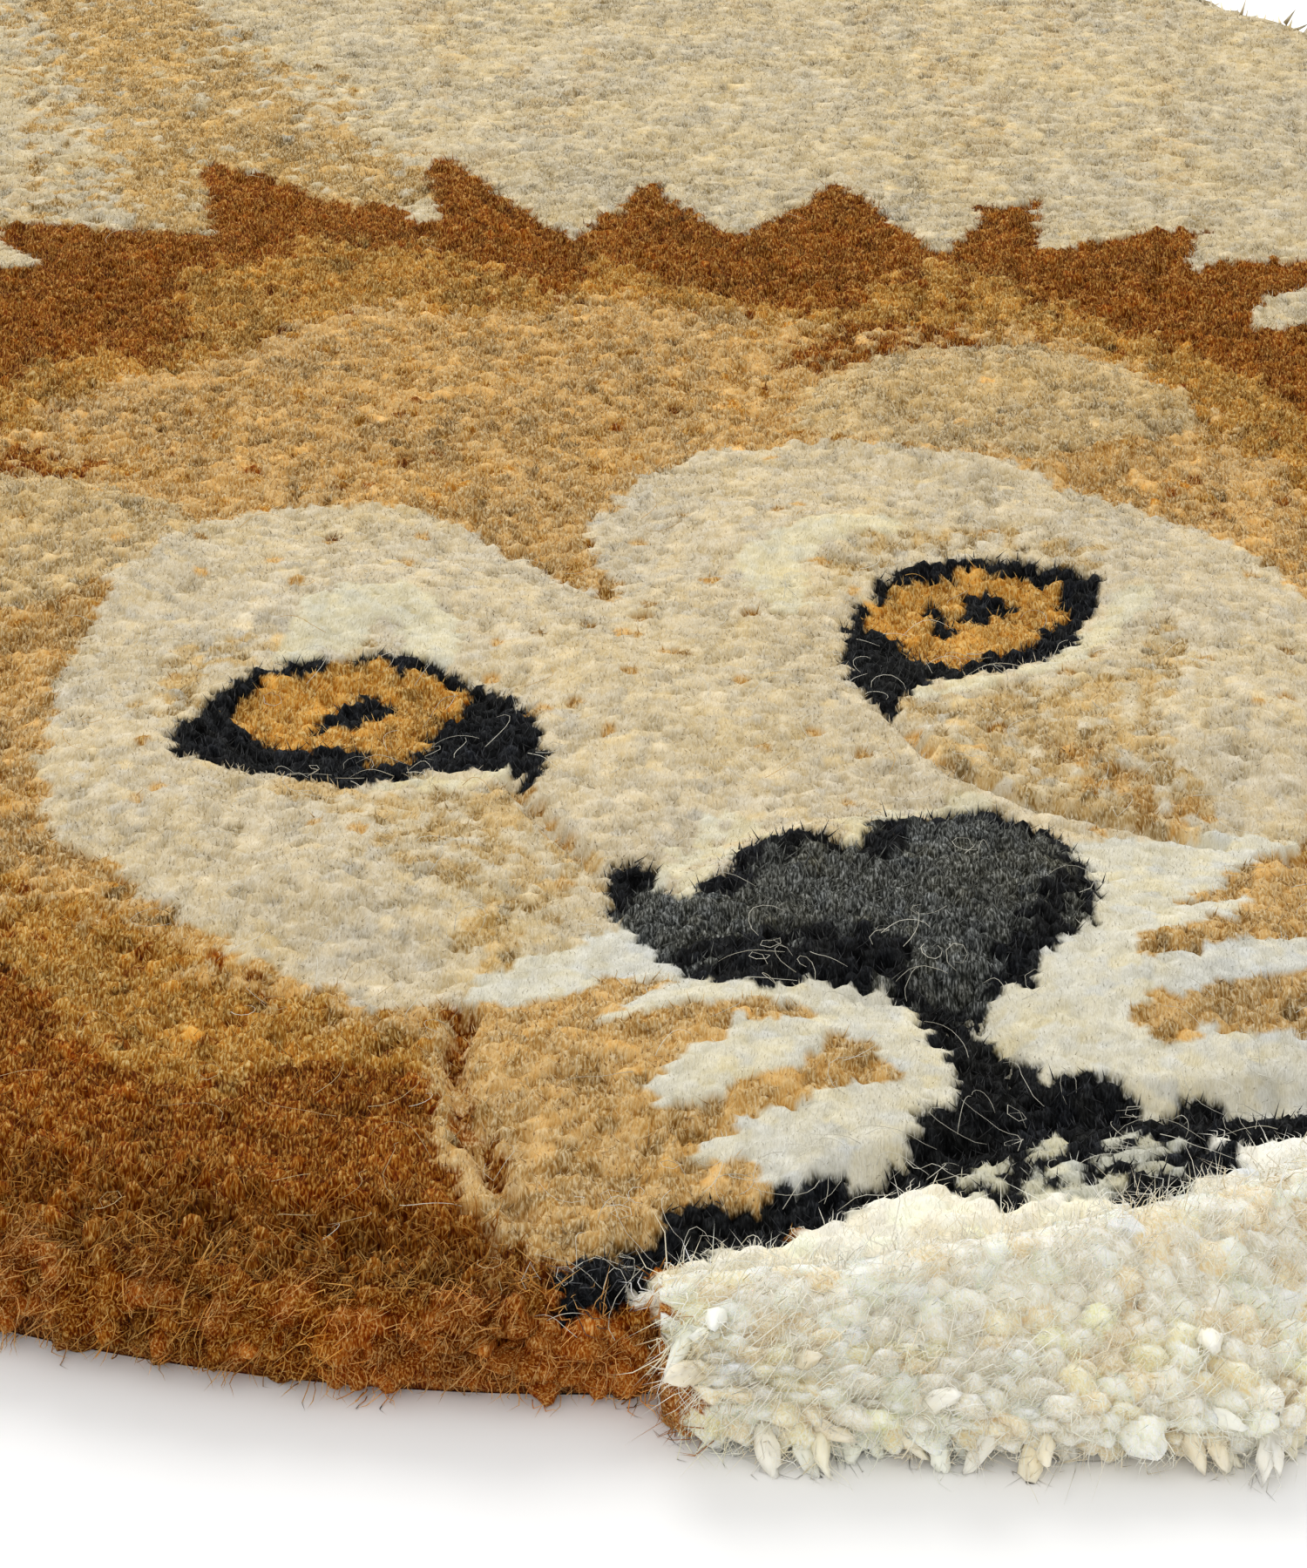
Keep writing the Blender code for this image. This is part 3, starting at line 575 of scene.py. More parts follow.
@dataclass
class Drawing:
    """Which yarn each tuft is made of."""

    curve_steps: int = 5
    edge_wave: float = 0.006
    edge_noise: float = 0.45
    stripe_ragged: float = 0.7
    lip_speckle: float = 0.0036
    hanging_below: float = -0.15
    hanging_half_width: float = 0.12
    streak_size: tuple[float, float] = (0.011, 0.05)
    streak_slant: float = 0.45
    streak_level: float = 0.42
    streak_share: float = 0.55
    streak_colour: float = 0.3
    seed: int = 11

    def edge(self, keys: Keys) -> Array:
        """The smooth closed line through points in millimetres."""
        return smooth_loop(np.array(keys, float) * MM, self.curve_steps)

    def loops(self, patch: Patch) -> list[Array]:
        """The closed edges of a patch, one for each side that it is on."""
        loop = self.edge(patch.keys)
        return [loop, loop * (-1.0, 1.0)] if patch.mirrored else [loop]

    def covers(self, patch: Patch | Stripe, points: Array, wobble: Array) -> Array:
        """Whether each point lies in a patch or stripe with an uneven edge."""
        if isinstance(patch, Patch):
            moved = points + wobble * patch.ragged * MM
            return np.any([is_inside(moved, loop) for loop in self.loops(patch)], axis=0)
        moved = points + wobble * self.stripe_ragged * MM
        if patch.mirrored:
            moved = np.stack([np.abs(moved[:, 0]), moved[:, 1]], axis=1)
        route = np.array(patch.route, float) * MM
        start, end = (width * MM for width in patch.half_widths)
        run = route[-1] - route[0]
        along = np.clip(((moved - route[0]) @ run) / (run @ run), 0.0, 1.0)
        return distance_to_line(moved, route) < start + (end - start) * along

    def in_chin(self, points: Array) -> Array:
        """Whether each point lies in the shaggy chin."""
        return is_inside(points, self.edge(CHIN_EDGE))

    def in_lip(self, points: Array) -> Array:
        """Whether each point lies in the dark lip at the top of the chin."""
        return is_inside(points, self.edge(LIP_EDGE))

    def yarns(self, points: Array, chance: Chance) -> Array:
        """The number of each tuft's yarn, in the order of the yarns."""
        count = len(points)
        number = {yarn: place for place, yarn in enumerate(Yarn)}
        wobble = drift_pair(points, self.edge_wave, 21) + chance.normal(0.0, self.edge_noise, (count, 2))
        chosen = np.full(count, number[Yarn.CREAM])
        for patch in PATCHES:
            covered = self.covers(patch, points, wobble)
            if patch.yarn is Yarn.RUST:
                covered &= (chosen == number[Yarn.DARK]) | (chosen == number[Yarn.MID])
            if patch.share < 1.0:
                covered &= chance.random(count) < patch.share
            chosen[covered] = number[patch.yarn]
        lip = self.in_lip(points)
        speckle = drift(points, self.lip_speckle, 35) + chance.normal(0.0, 0.30, count) > -0.06
        chosen[lip] = np.where(speckle[lip], number[Yarn.BLACK], number[Yarn.LIP])
        return chosen

    def colours(self, points: Array, hangs: Array | None = None) -> Array:
        """The linear colour of the tuft at each point, its own small difference included.

        Args:
            points: places in the head's frame.
            hangs: whether each tuft hangs on the rug's edge, to which the mouth doesn't reach.

        Returns:
            Rows of red, green, blue and 1.
        """
        chance = seeded(self.seed)
        dyes = np.array([yarn.linear() for yarn in Yarn])
        colour = dyes[self.yarns(points, chance)]
        if hangs is not None:
            by_mouth = (points[:, 1] < self.hanging_below) & (np.abs(points[:, 0]) < self.hanging_half_width)
            colour[hangs & by_mouth] = Yarn.RUST.linear()
        cream, stripe = Yarn.CREAM.linear(), Yarn.STRIPE.linear()
        slanted = np.stack([points[:, 0] - self.streak_slant * points[:, 1], points[:, 1]], axis=1)
        streaked = drift(slanted, self.streak_size, 31) > self.streak_level
        streaked &= chance.random(len(points)) < self.streak_share
        streaked &= np.all(colour == cream, axis=1)
        colour[streaked] = (1.0 - self.streak_colour) * cream + self.streak_colour * stripe
        return self.vary(colour, points, chance)

    @staticmethod
    def vary(colour: Array, points: Array, chance: Chance) -> Array:
        """Makes each tuft a little lighter, darker, warmer or cooler than its yarn."""
        count = len(points)
        calm = np.interp(lightness(colour), (0.30, 0.60), (1.8, 0.5))
        light = 1.0 + calm * (0.06 * drift(points, 0.013, 41) + 0.08 * drift(points, 0.0055, 42)
                              + chance.normal(0.0, 0.095, count))
        warmth = 0.05 * drift(points, 0.022, 43) + chance.normal(0.0, 0.03, count)
        tint = np.stack([1.0 + 0.6 * warmth, np.ones(count), 1.0 - 1.6 * warmth, np.ones(count)], axis=1)
        varied = np.hstack([colour * light[:, None], np.ones((count, 1))]) * tint
        return np.clip(varied, 0.004, 0.95)


# ---- finishes ----

@dataclass
class NodeBoard:
    """Adds nodes to a tree and joins them."""

    tree: NodeTree

    def add(self, kind: str, feeds: Feeds | None = None, **settings: object) -> Node:
        """A new node.

        Args:
            kind: the node's type.
            feeds: what its inputs get.
            settings: its own settings.

        Returns:
            The node.
        """
        node = self.tree.nodes.new(kind)
        for name, value in settings.items():
            setattr(node, name, value)
        self.feed(node, feeds or {})
        return node

    def feed(self, node: Node, feeds: Feeds) -> None:
        """Gives inputs of a node a value of their own or another node's output."""
        for key, value in feeds.items():
            if isinstance(value, NodeSocket):
                self.tree.links.new(value, node.inputs[key])
            else:
                node.inputs[key].default_value = value

    def ranged(self, value: NodeSocket, given: tuple[float, float], wanted: tuple[float, float],
               clamp: bool = False) -> NodeSocket:
        """A value moved from one range to another."""
        node = self.add("ShaderNodeMapRange", {
            "Value": value, "From Min": given[0], "From Max": given[1], "To Min": wanted[0],
            "To Max": wanted[1]}, clamp=clamp)
        return node.outputs["Result"]


@dataclass(frozen=True)
class WoolFinish:
    """Matt wool in each tuft's yarn, streaked by its fibres, partly with painted glints and shade, and
    with painted shade that deepens its colour towards the root, in the gaps between tufts, and painted
    light that lifts it towards the tips.

    The colour is raised to a power, so the painted shade leaves pale wool, which light passes through,
    pale between its tufts, and makes dark wool much darker there.
    """

    name: str
    # powers of the painted shading: above 1 paints shade, below 1 paints light; the first two at the root,
    # for dark and for pale wool, the last at the tip
    root_shading_power: float = 1.60
    pale_root_shading_power: float = 1.35
    tip_shading_power: float = 0.81
    # strength of the fibre streaks by the yarn's lightness: partly the yarn's own texture, partly painted
    # glints and shade
    grain_and_glint: Keys = (
        (0.0, 0.15), (0.03, 0.30), (0.09, 0.66), (0.33, 0.52), (0.42, 0.24), (0.60, 0.12))
    fibre: float = 0.00034
    bump: float = 0.9
    sheen: float = 0.01
    glow: float = 0.0

    def material(self) -> Material:
        """The finish as a node material."""
        material = bpy.data.materials.new(self.name)
        material.use_nodes = True
        board = NodeBoard(material.node_tree)
        strand, reach, yarn = (board.add("ShaderNodeAttribute", attribute_name=key)
                               for key in ("strand", "reach", "yarn"))
        fibres = board.add("ShaderNodeTexNoise", {
            "Scale": 1.0 / self.fibre, "Detail": 3.0, "Vector": strand.outputs["Vector"]}).outputs["Fac"]
        grey = board.add("ShaderNodeRGBToBW", {0: yarn.outputs["Color"]}).outputs[0]
        # painted shade towards the root and painted light towards the tip, by each place's reach
        shading_at_root = board.ranged(grey, (0.1, 0.6), (self.root_shading_power, self.pale_root_shading_power))
        shading_by_reach = board.add("ShaderNodeMapRange", {
            "Value": reach.outputs["Fac"], "To Min": shading_at_root, "To Max": self.tip_shading_power}, clamp=False)
        # lighter and darker fibre streaks: partly the yarn's own texture, partly painted glints and shade of
        # single fibres
        swing = board.ranged(fibres, (0.36, 0.64), (1.0, -0.8), clamp=True)
        streak = board.add("ShaderNodeMath", {0: swing, 1: self.grain_and_glint_of(board, grey), 2: 1.0},
                           operation="MULTIPLY_ADD")
        power = board.add("ShaderNodeMath", {0: shading_by_reach.outputs["Result"], 1: streak.outputs[0]},
                          operation="MULTIPLY")
        dyed = board.add("ShaderNodeGamma", {"Color": yarn.outputs["Color"], "Gamma": power.outputs[0]})
        shader = material.node_tree.nodes["Principled BSDF"]
        board.feed(shader, {
            "Base Color": dyed.outputs["Color"], "Roughness": board.ranged(fibres, (0.0, 1.0), (0.82, 1.0)),
            "Sheen Weight": self.sheen, "Sheen Roughness": 0.5, "Sheen Tint": (1.0, 0.93, 0.82, 1.0),
            "Specular IOR Level": 0.03, "Subsurface Weight": self.glow,
            "Subsurface Radius": (1.0, 0.88, 0.74), "Subsurface Scale": 0.0025})
        if self.bump:
            raised = board.add("ShaderNodeBump", {
                "Strength": self.bump, "Distance": 0.0005, "Height": fibres})
            board.feed(shader, {"Normal": raised.outputs["Normal"]})
        return material

    def grain_and_glint_of(self, board: NodeBoard, grey: NodeSocket) -> NodeSocket:
        """The strength of the streaks, partly the fibres' own texture and partly painted glints and shade:
        strong in brown and tan wool, faint in black and white.
        """
        ramp = board.add("ShaderNodeValToRGB", {"Fac": grey})
        stops = ramp.color_ramp.elements
        while len(stops) < len(self.grain_and_glint):
            stops.new(1.0)
        for stop, (at, strength) in zip(stops, self.grain_and_glint):
            stop.position = at
            stop.color = (strength, strength, strength, 1.0)
        return ramp.outputs["Color"]


@dataclass(frozen=True)
class FloorFinish:
    """Plain pale floor."""

    name: str = "pale floor"
    colour: tuple[float, float, float, float] = (0.93, 0.925, 0.915, 1.0)

    def material(self) -> Material:
        """The finish as a node material."""
        material = bpy.data.materials.new(self.name)
        material.use_nodes = True
        shader = material.node_tree.nodes["Principled BSDF"]
        shader.inputs["Base Color"].default_value = self.colour
        shader.inputs["Roughness"].default_value = 0.9
        return material


# ---- meshes ----

def add_object(name: str, mesh: Mesh) -> Object:
    """An object for a mesh, linked to the scene."""
    obj = bpy.data.objects.new(name, mesh)
    bpy.context.scene.collection.objects.link(obj)
    return obj


def mesh_from(name: str, corners: Array, faces: Sequence[Sequence[int]] | Array,
              values: dict[str, Array] | None = None) -> Mesh:
    """A smooth mesh.

    Args:
        name: its name.
        corners: rows of x, y and z.
        faces: the corners of each face, counterclockwise from outside.
        values: named values for each corner: one column, three, or four for a colour.

    Returns:
        The mesh.
    """
    mesh = bpy.data.meshes.new(name)
    mesh.from_pydata(np.asarray(corners).tolist(), [], [list(map(int, face)) for face in faces])
    kinds = {1: ("FLOAT", "value"), 3: ("FLOAT_VECTOR", "vector"), 4: ("FLOAT_COLOR", "color")}
    for key, value in (values or {}).items():
        value = np.asarray(value, float)
        kind, target = kinds[1 if value.ndim == 1 else value.shape[1]]
        layer = mesh.attributes.new(key, kind, "POINT")
        layer.data.foreach_set(target, value.astype(np.float32).ravel())
    mesh.shade_smooth()
    return mesh


def grid_faces(rows: int, columns: int) -> list[tuple[int, ...]]:
    """The faces of a tube whose rows of corners close on themselves, with a cap at each end.

    Args:
        rows: rows of corners.
        columns: corners in each row.

    Returns:
        The faces.
    """
    faces = []
    for row in range(rows - 1):
        here, there = row * columns, (row + 1) * columns
        for column in range(columns):
            after = (column + 1) % columns
            faces.append((here + column, here + after, there + after, there + column))
    faces.append(tuple(range(columns - 1, -1, -1)))
    faces.append(tuple(range((rows - 1) * columns, rows * columns)))
    return faces


def outward(corners: Array, faces: Sequence[Sequence[int]]) -> Sequence[Sequence[int]]:
    """The faces of a closed solid, all turned over if they face inwards."""
    volume = 0.0
    for face in faces:
        first = corners[face[0]]
        for second, third in zip(face[1:-1], face[2:]):
            volume += float(np.dot(first, np.cross(corners[second], corners[third])))
    return faces if volume > 0.0 else [tuple(reversed(face)) for face in faces]


@dataclass
class Brush:
    """A tuft or lock of wool, standing on the origin: a soft rounded core with fibres round it.

    Sizes are in metres. The core is a closed bulb with a ring of corners at each level, and a fibre is
    a thin closed spike of three sides.
    """

    seed: int
    height: float
    radius: float
    fibres: int
    fibre_width: float
    fibre_start: float
    splay: float
    curl: float
    # the fibres' reach sets their painted shading; past 1 it paints them lighter than their tuft's tips, as
    # painted glints
    fibre_reach: tuple[float, float]
    fibre_length: float = 1.0
    bends: int = 0
    droop: float = 0.0
    dome: float = 0.0
    sides: int = 0
    rings: Keys = ()
    uneven: float = 0.0
    core_reach: tuple[float, float] = (0.0, 1.0)
    variants: int = 24

    def bend(self, share: float, sway: Array) -> tuple[float, float, float]:
        """How far a tuft's own curve carries a point that is this share of the way up it."""
        aside = max(share, 0.0) ** 1.7
        return (sway[0] * aside + self.droop * max(share, 0.0) ** 2, sway[1] * aside,
                -0.35 * self.droop * max(share, 0.0) ** 3)

    def core(self, chance: Chance, sway: Array) -> tuple[list, list, list]:
        """The bulb: its corners before and after bending, and its faces."""
        straight = [(0.0, 0.0, -0.22 * self.height)]
        for level, wide in self.rings:
            spin = chance.uniform(0.0, 2.0 * math.pi / self.sides)
            for index in range(self.sides):
                angle = spin + 2.0 * math.pi * (index + chance.uniform(-0.2, 0.2)) / self.sides
                out = self.radius * wide * (1.0 + chance.uniform(-1.0, 1.0) * self.uneven)
                up = (level + chance.uniform(-0.5, 0.5) * self.uneven * 0.7) * self.height
                straight.append((out * math.cos(angle), out * math.sin(angle), up))
        peak = chance.normal(0.0, 0.15, 2) * self.radius
        straight.append((peak[0], peak[1], self.height * chance.uniform(0.94, 1.04)))
        last, top = 1 + (len(self.rings) - 1) * self.sides, len(straight) - 1
        faces = []
        for index in range(self.sides):
            after = (index + 1) % self.sides
            faces.append((0, 1 + after, 1 + index))
            for ring in range(len(self.rings) - 1):
                low = 1 + ring * self.sides
                faces.append((low + index, low + after, low + after + self.sides, low + index + self.sides))
            faces.append((last + index, last + after, top))
        bent = [tuple(np.add(place, self.bend(place[2] / self.height, sway))) for place in straight]
        return straight, bent, faces

    def fibre(self, chance: Chance, index: int, sway: Array) -> tuple[list, list, list]:
        """One fibre: its corners before and after bending, and its faces."""
        angle = GOLDEN_ANGLE * index + chance.uniform(-0.6, 0.6)
        out = self.radius * math.sqrt((index + 0.7) / (self.fibres + 0.7)) * 0.85
        tall = self.height * self.fibre_length * chance.uniform(0.86, 1.08)
        start = self.height * self.fibre_start
        sunk = self.dome * (out / self.radius) ** 2
        lean = self.splay * (out / self.radius) * chance.uniform(0.4, 1.8)
        own = chance.normal(0.0, 1.0, 2) * self.curl
        spin, swing = chance.uniform(0.0, 2.0 * math.pi, 2)
        levels = self.bends + 2
        straight, bent = [], []
        for level in range(levels):
            share = level / (levels - 1)
            up = start + (tall - start) * share - sunk
            wave = math.sin(share * 5.0 + swing) * self.curl * share
            x = out * math.cos(angle) + (lean * math.cos(angle) + own[0]) * share ** 1.5 + wave
            y = out * math.sin(angle) + (lean * math.sin(angle) + own[1]) * share ** 1.5 - wave
            half = 0.5 * self.fibre_width * (1.0 - 0.35 * share)
            corners = 1 if level == levels - 1 else 3
            for turn in range(corners):
                around = spin + turn * 2.0 * math.pi / 3.0
                aside = half if corners == 3 else 0.0
                place = (x + aside * math.cos(around), y + aside * math.sin(around), up)
                straight.append((x, y, up))
                bent.append(tuple(np.add(place, self.bend(up / self.height, sway))))
        faces = [(2, 1, 0)]
        for level in range(levels - 2):
            for turn in range(3):
                low, after = level * 3 + turn, level * 3 + (turn + 1) % 3
                faces.append((low, after, after + 3, low + 3))
        last, tip = (levels - 2) * 3, (levels - 1) * 3
        faces += [(last + turn, last + (turn + 1) % 3, tip) for turn in range(3)]
        return straight, bent, faces

    def collection(self, name: str) -> Collection:
        """A collection that holds the brush's variants, each a mesh of its own."""
        collection = bpy.data.collections.new(name)
        bpy.context.scene.collection.children.link(collection)
        for variant in range(self.variants):
            chance = seeded(1000 * self.seed + variant)
            sway = chance.normal(0.0, 1.0, 2) * self.curl
            parts = [(self.core_reach, self.core(chance, sway))] if self.sides else []
            parts += [(self.fibre_reach, self.fibre(chance, index, sway)) for index in range(self.fibres)]
            straight, bent, faces, reach = [], [], [], []
            for (low, high), (part_straight, part_bent, part_faces) in parts:
                faces += [tuple(len(bent) + corner for corner in face) for face in part_faces]
                straight += part_straight
                bent += part_bent
                share = np.clip(np.array(part_straight)[:, 2] / self.height, 0.0, 1.0)
                reach += list(low + (high - low) * share)
            strand = np.array(straight) * (1.0, 1.0, 0.25) + chance.uniform(-1.0, 1.0, 3)
            values = {"reach": np.array(reach), "strand": strand}
            mesh = mesh_from(f"{name} {variant}", np.array(bent), faces, values)
            collection.objects.link(bpy.data.objects.new(mesh.name, mesh))
        return collection


@dataclass
class TuftTree:
    """The node tree that plants a brush on each point of a mesh and makes it real."""

    seed: int = 5
    sockets: dict[str, str] = field(default_factory=dict)

    @cached_property
    def tree(self) -> NodeTree:
        """The finished tree, whose inputs' identifiers are kept."""
        tree = bpy.data.node_groups.new("planted tufts", "GeometryNodeTree")
        kinds = {"Roots": "Geometry", "Brushes": "Collection", "Wool": "Material", "Variants": "Int",
                 "Spin": "Float", "Seed": "Int"}
        for name, kind in kinds.items():
            socket = tree.interface.new_socket(name, in_out="INPUT", socket_type=f"NodeSocket{kind}")
            self.sockets[name] = socket.identifier
        tree.interface.new_socket("Pile", in_out="OUTPUT", socket_type="NodeSocketGeometry")
        board = NodeBoard(tree)
        given = board.add("NodeGroupInput").outputs
        brushes = board.add("GeometryNodeCollectionInfo", {
            "Collection": given["Brushes"], "Separate Children": True, "Reset Children": True})
        last = board.add("ShaderNodeMath", {0: given["Variants"], 1: 1.0}, operation="SUBTRACT")
        pick = board.add("FunctionNodeRandomValue", {5: last.outputs[0], "Seed": given["Seed"]},
                         data_type="INT")
        spin = board.add("FunctionNodeRandomValue", {3: given["Spin"], "Seed": given["Seed"]},
                         data_type="FLOAT")
        about = board.add("ShaderNodeCombineXYZ", {"Z": spin.outputs[1]})
        turned = board.add("FunctionNodeRotateRotation", {
            "Rotation": self.named(board, "lean"), "Rotate By": about.outputs[0]}, rotation_space="LOCAL")
        plant = board.add("GeometryNodeInstanceOnPoints", {
            "Points": given["Roots"], "Instance": brushes.outputs[0], "Pick Instance": True,
            "Instance Index": pick.outputs[2], "Rotation": turned.outputs[0],
            "Scale": self.named(board, "size")})
        real = board.add("GeometryNodeRealizeInstances", {0: plant.outputs[0]})
        dress = board.add("GeometryNodeSetMaterial", {"Geometry": real.outputs[0], "Material": given["Wool"]})
        board.add("NodeGroupOutput", {0: dress.outputs[0]})
        return tree

    @staticmethod
    def named(board: NodeBoard, name: str) -> NodeSocket:
        """The output of a node that reads a named vector of the points."""
        node = board.add("GeometryNodeInputNamedAttribute", {"Name": name}, data_type="FLOAT_VECTOR")
        return node.outputs[0]


@dataclass
class Planter:
    """Plants brushes on points and turns the result into a plain mesh."""

    shape: PeltShape
    tufts: TuftTree = field(default_factory=TuftTree)

    def plant(self, name: str, slot: str, brush: Brush, wool: Material, roots: Array, lean: Array,
              size: Array, colour: Array, spin: float = 2.0 * math.pi) -> Object:
        """Plants one brush on each root.

        Args:
            name: the piece's name.
            slot: not used.
            brush: what is planted.
            wool: its finish.
            roots: places in the head's frame.
            lean: each tuft's turn, as three angles about x, y and z.
            size: each tuft's scale along its own three axes.
            colour: each tuft's colour.
            spin: the most that a tuft turns about its own length.

        Returns:
            The piece, a mesh in the row's frame.
        """
        mesh = mesh_from(name + " roots", self.shape.placed(roots), [],
                         {"lean": lean, "size": size, "yarn": colour})
        holder = add_object(name + " roots", mesh)
        collection = brush.collection(name + " brushes")
        modifier = holder.modifiers.new("tufts", "NODES")
        modifier.node_group = self.tufts.tree
        chosen = {"Brushes": collection, "Wool": wool, "Variants": brush.variants, "Spin": spin,
                  "Seed": self.tufts.seed}
        for key, value in chosen.items():
            modifier[self.tufts.sockets[key]] = value
        holder.update_tag()
        bpy.context.view_layer.update()
        graph = bpy.context.evaluated_depsgraph_get()
        real = bpy.data.meshes.new_from_object(holder.evaluated_get(graph), preserve_all_data_layers=True,
                                               depsgraph=graph)
        holder.modifiers.remove(modifier)
        bpy.data.objects.remove(holder)
        for obj in list(collection.objects):
            bpy.data.objects.remove(obj)
        bpy.data.collections.remove(collection)
        for key in ("lean", "size"):
            if key in real.attributes:
                real.attributes.remove(real.attributes[key])
        real.name = name
        rest_on_floor(real)
        lay_out_flat(real)
        piece = add_object(name, real)
        finish_piece(piece)
        return piece


def lay_out_flat(mesh: Mesh) -> None:
    """Gives a mesh a map that looks straight down on it."""
    corners = np.zeros(len(mesh.vertices) * 3, np.float32)
    mesh.vertices.foreach_get("co", corners)
    order = np.zeros(len(mesh.loops), np.int32)
    mesh.loops.foreach_get("vertex_index", order)
    flat = corners.reshape(-1, 3)[order, :2] / 1.6 + (0.5, 0.5)
    layer = mesh.uv_layers.new(name="OFBake")
    layer.uv.foreach_set("vector", flat.astype(np.float32).ravel())


def rest_on_floor(mesh: Mesh) -> None:
    """Lays whatever hangs below the floor flat on it."""
    corners = np.zeros(len(mesh.vertices) * 3, np.float32)
    mesh.vertices.foreach_get("co", corners)
    corners[2::3] = np.maximum(corners[2::3], LEAST_HEIGHT)
    mesh.vertices.foreach_set("co", corners)


def tilted(direction: Array) -> Array:
    """The turns about x, y and z that lay a brush's length along each direction."""
    across = np.hypot(direction[:, 0], direction[:, 1])
    return np.stack([np.zeros(len(direction)), np.arctan2(across, direction[:, 2]),
                     np.arctan2(direction[:, 1], direction[:, 0])], axis=1)


def dressed(name: str, mesh: Mesh, wool: Material) -> Object:
    """An object for a mesh, with its finish and its map."""
    mesh.materials.append(wool)
    lay_out_flat(mesh)
    return add_object(name, mesh)


def finish_piece(piece: Object) -> None:
    """Makes a piece part of the rug and logs its triangles."""
    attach(piece, BODY)
    mesh = piece.data
    LOG.info("%s: %d triangles", piece.name, len(mesh.loops) - 2 * len(mesh.polygons))


def reach_of(gap: Array) -> Array:
    """How near to its tuft's tip each place is, given its nearness to a gap between tufts; it sets the
    painted shade in the gaps.
    """
    return 0.95 - 0.65 * gap


# ---- the pile ----

class Zone(Enum):
    """The fields into which the pile is divided."""

    FACE = "face_pile"
    CROWN = "crown_pile"
    CHEEKS = "cheek_pile"
    LOWER_MANE = "lower_mane_pile"
    CHIN = "chin_pile"
    NAPE = "nape_pile"
    SHOULDERS = "shoulder_pile"
    MANE_SIDES = "mane_sides_pile"
    BACK = "back_pile"
    LEGS = "legs_pile"


@dataclass
class Grade:
    """A grade of pile: its tufts' distance and relief, their brush and the zones that have it."""

    pitch: float
    relief: float
    uneven: float
    brush: Brush
    zones: tuple[Zone, ...]
    points: Array | None = None
    colour: Array | None = None
    zone_of: Array | None = None


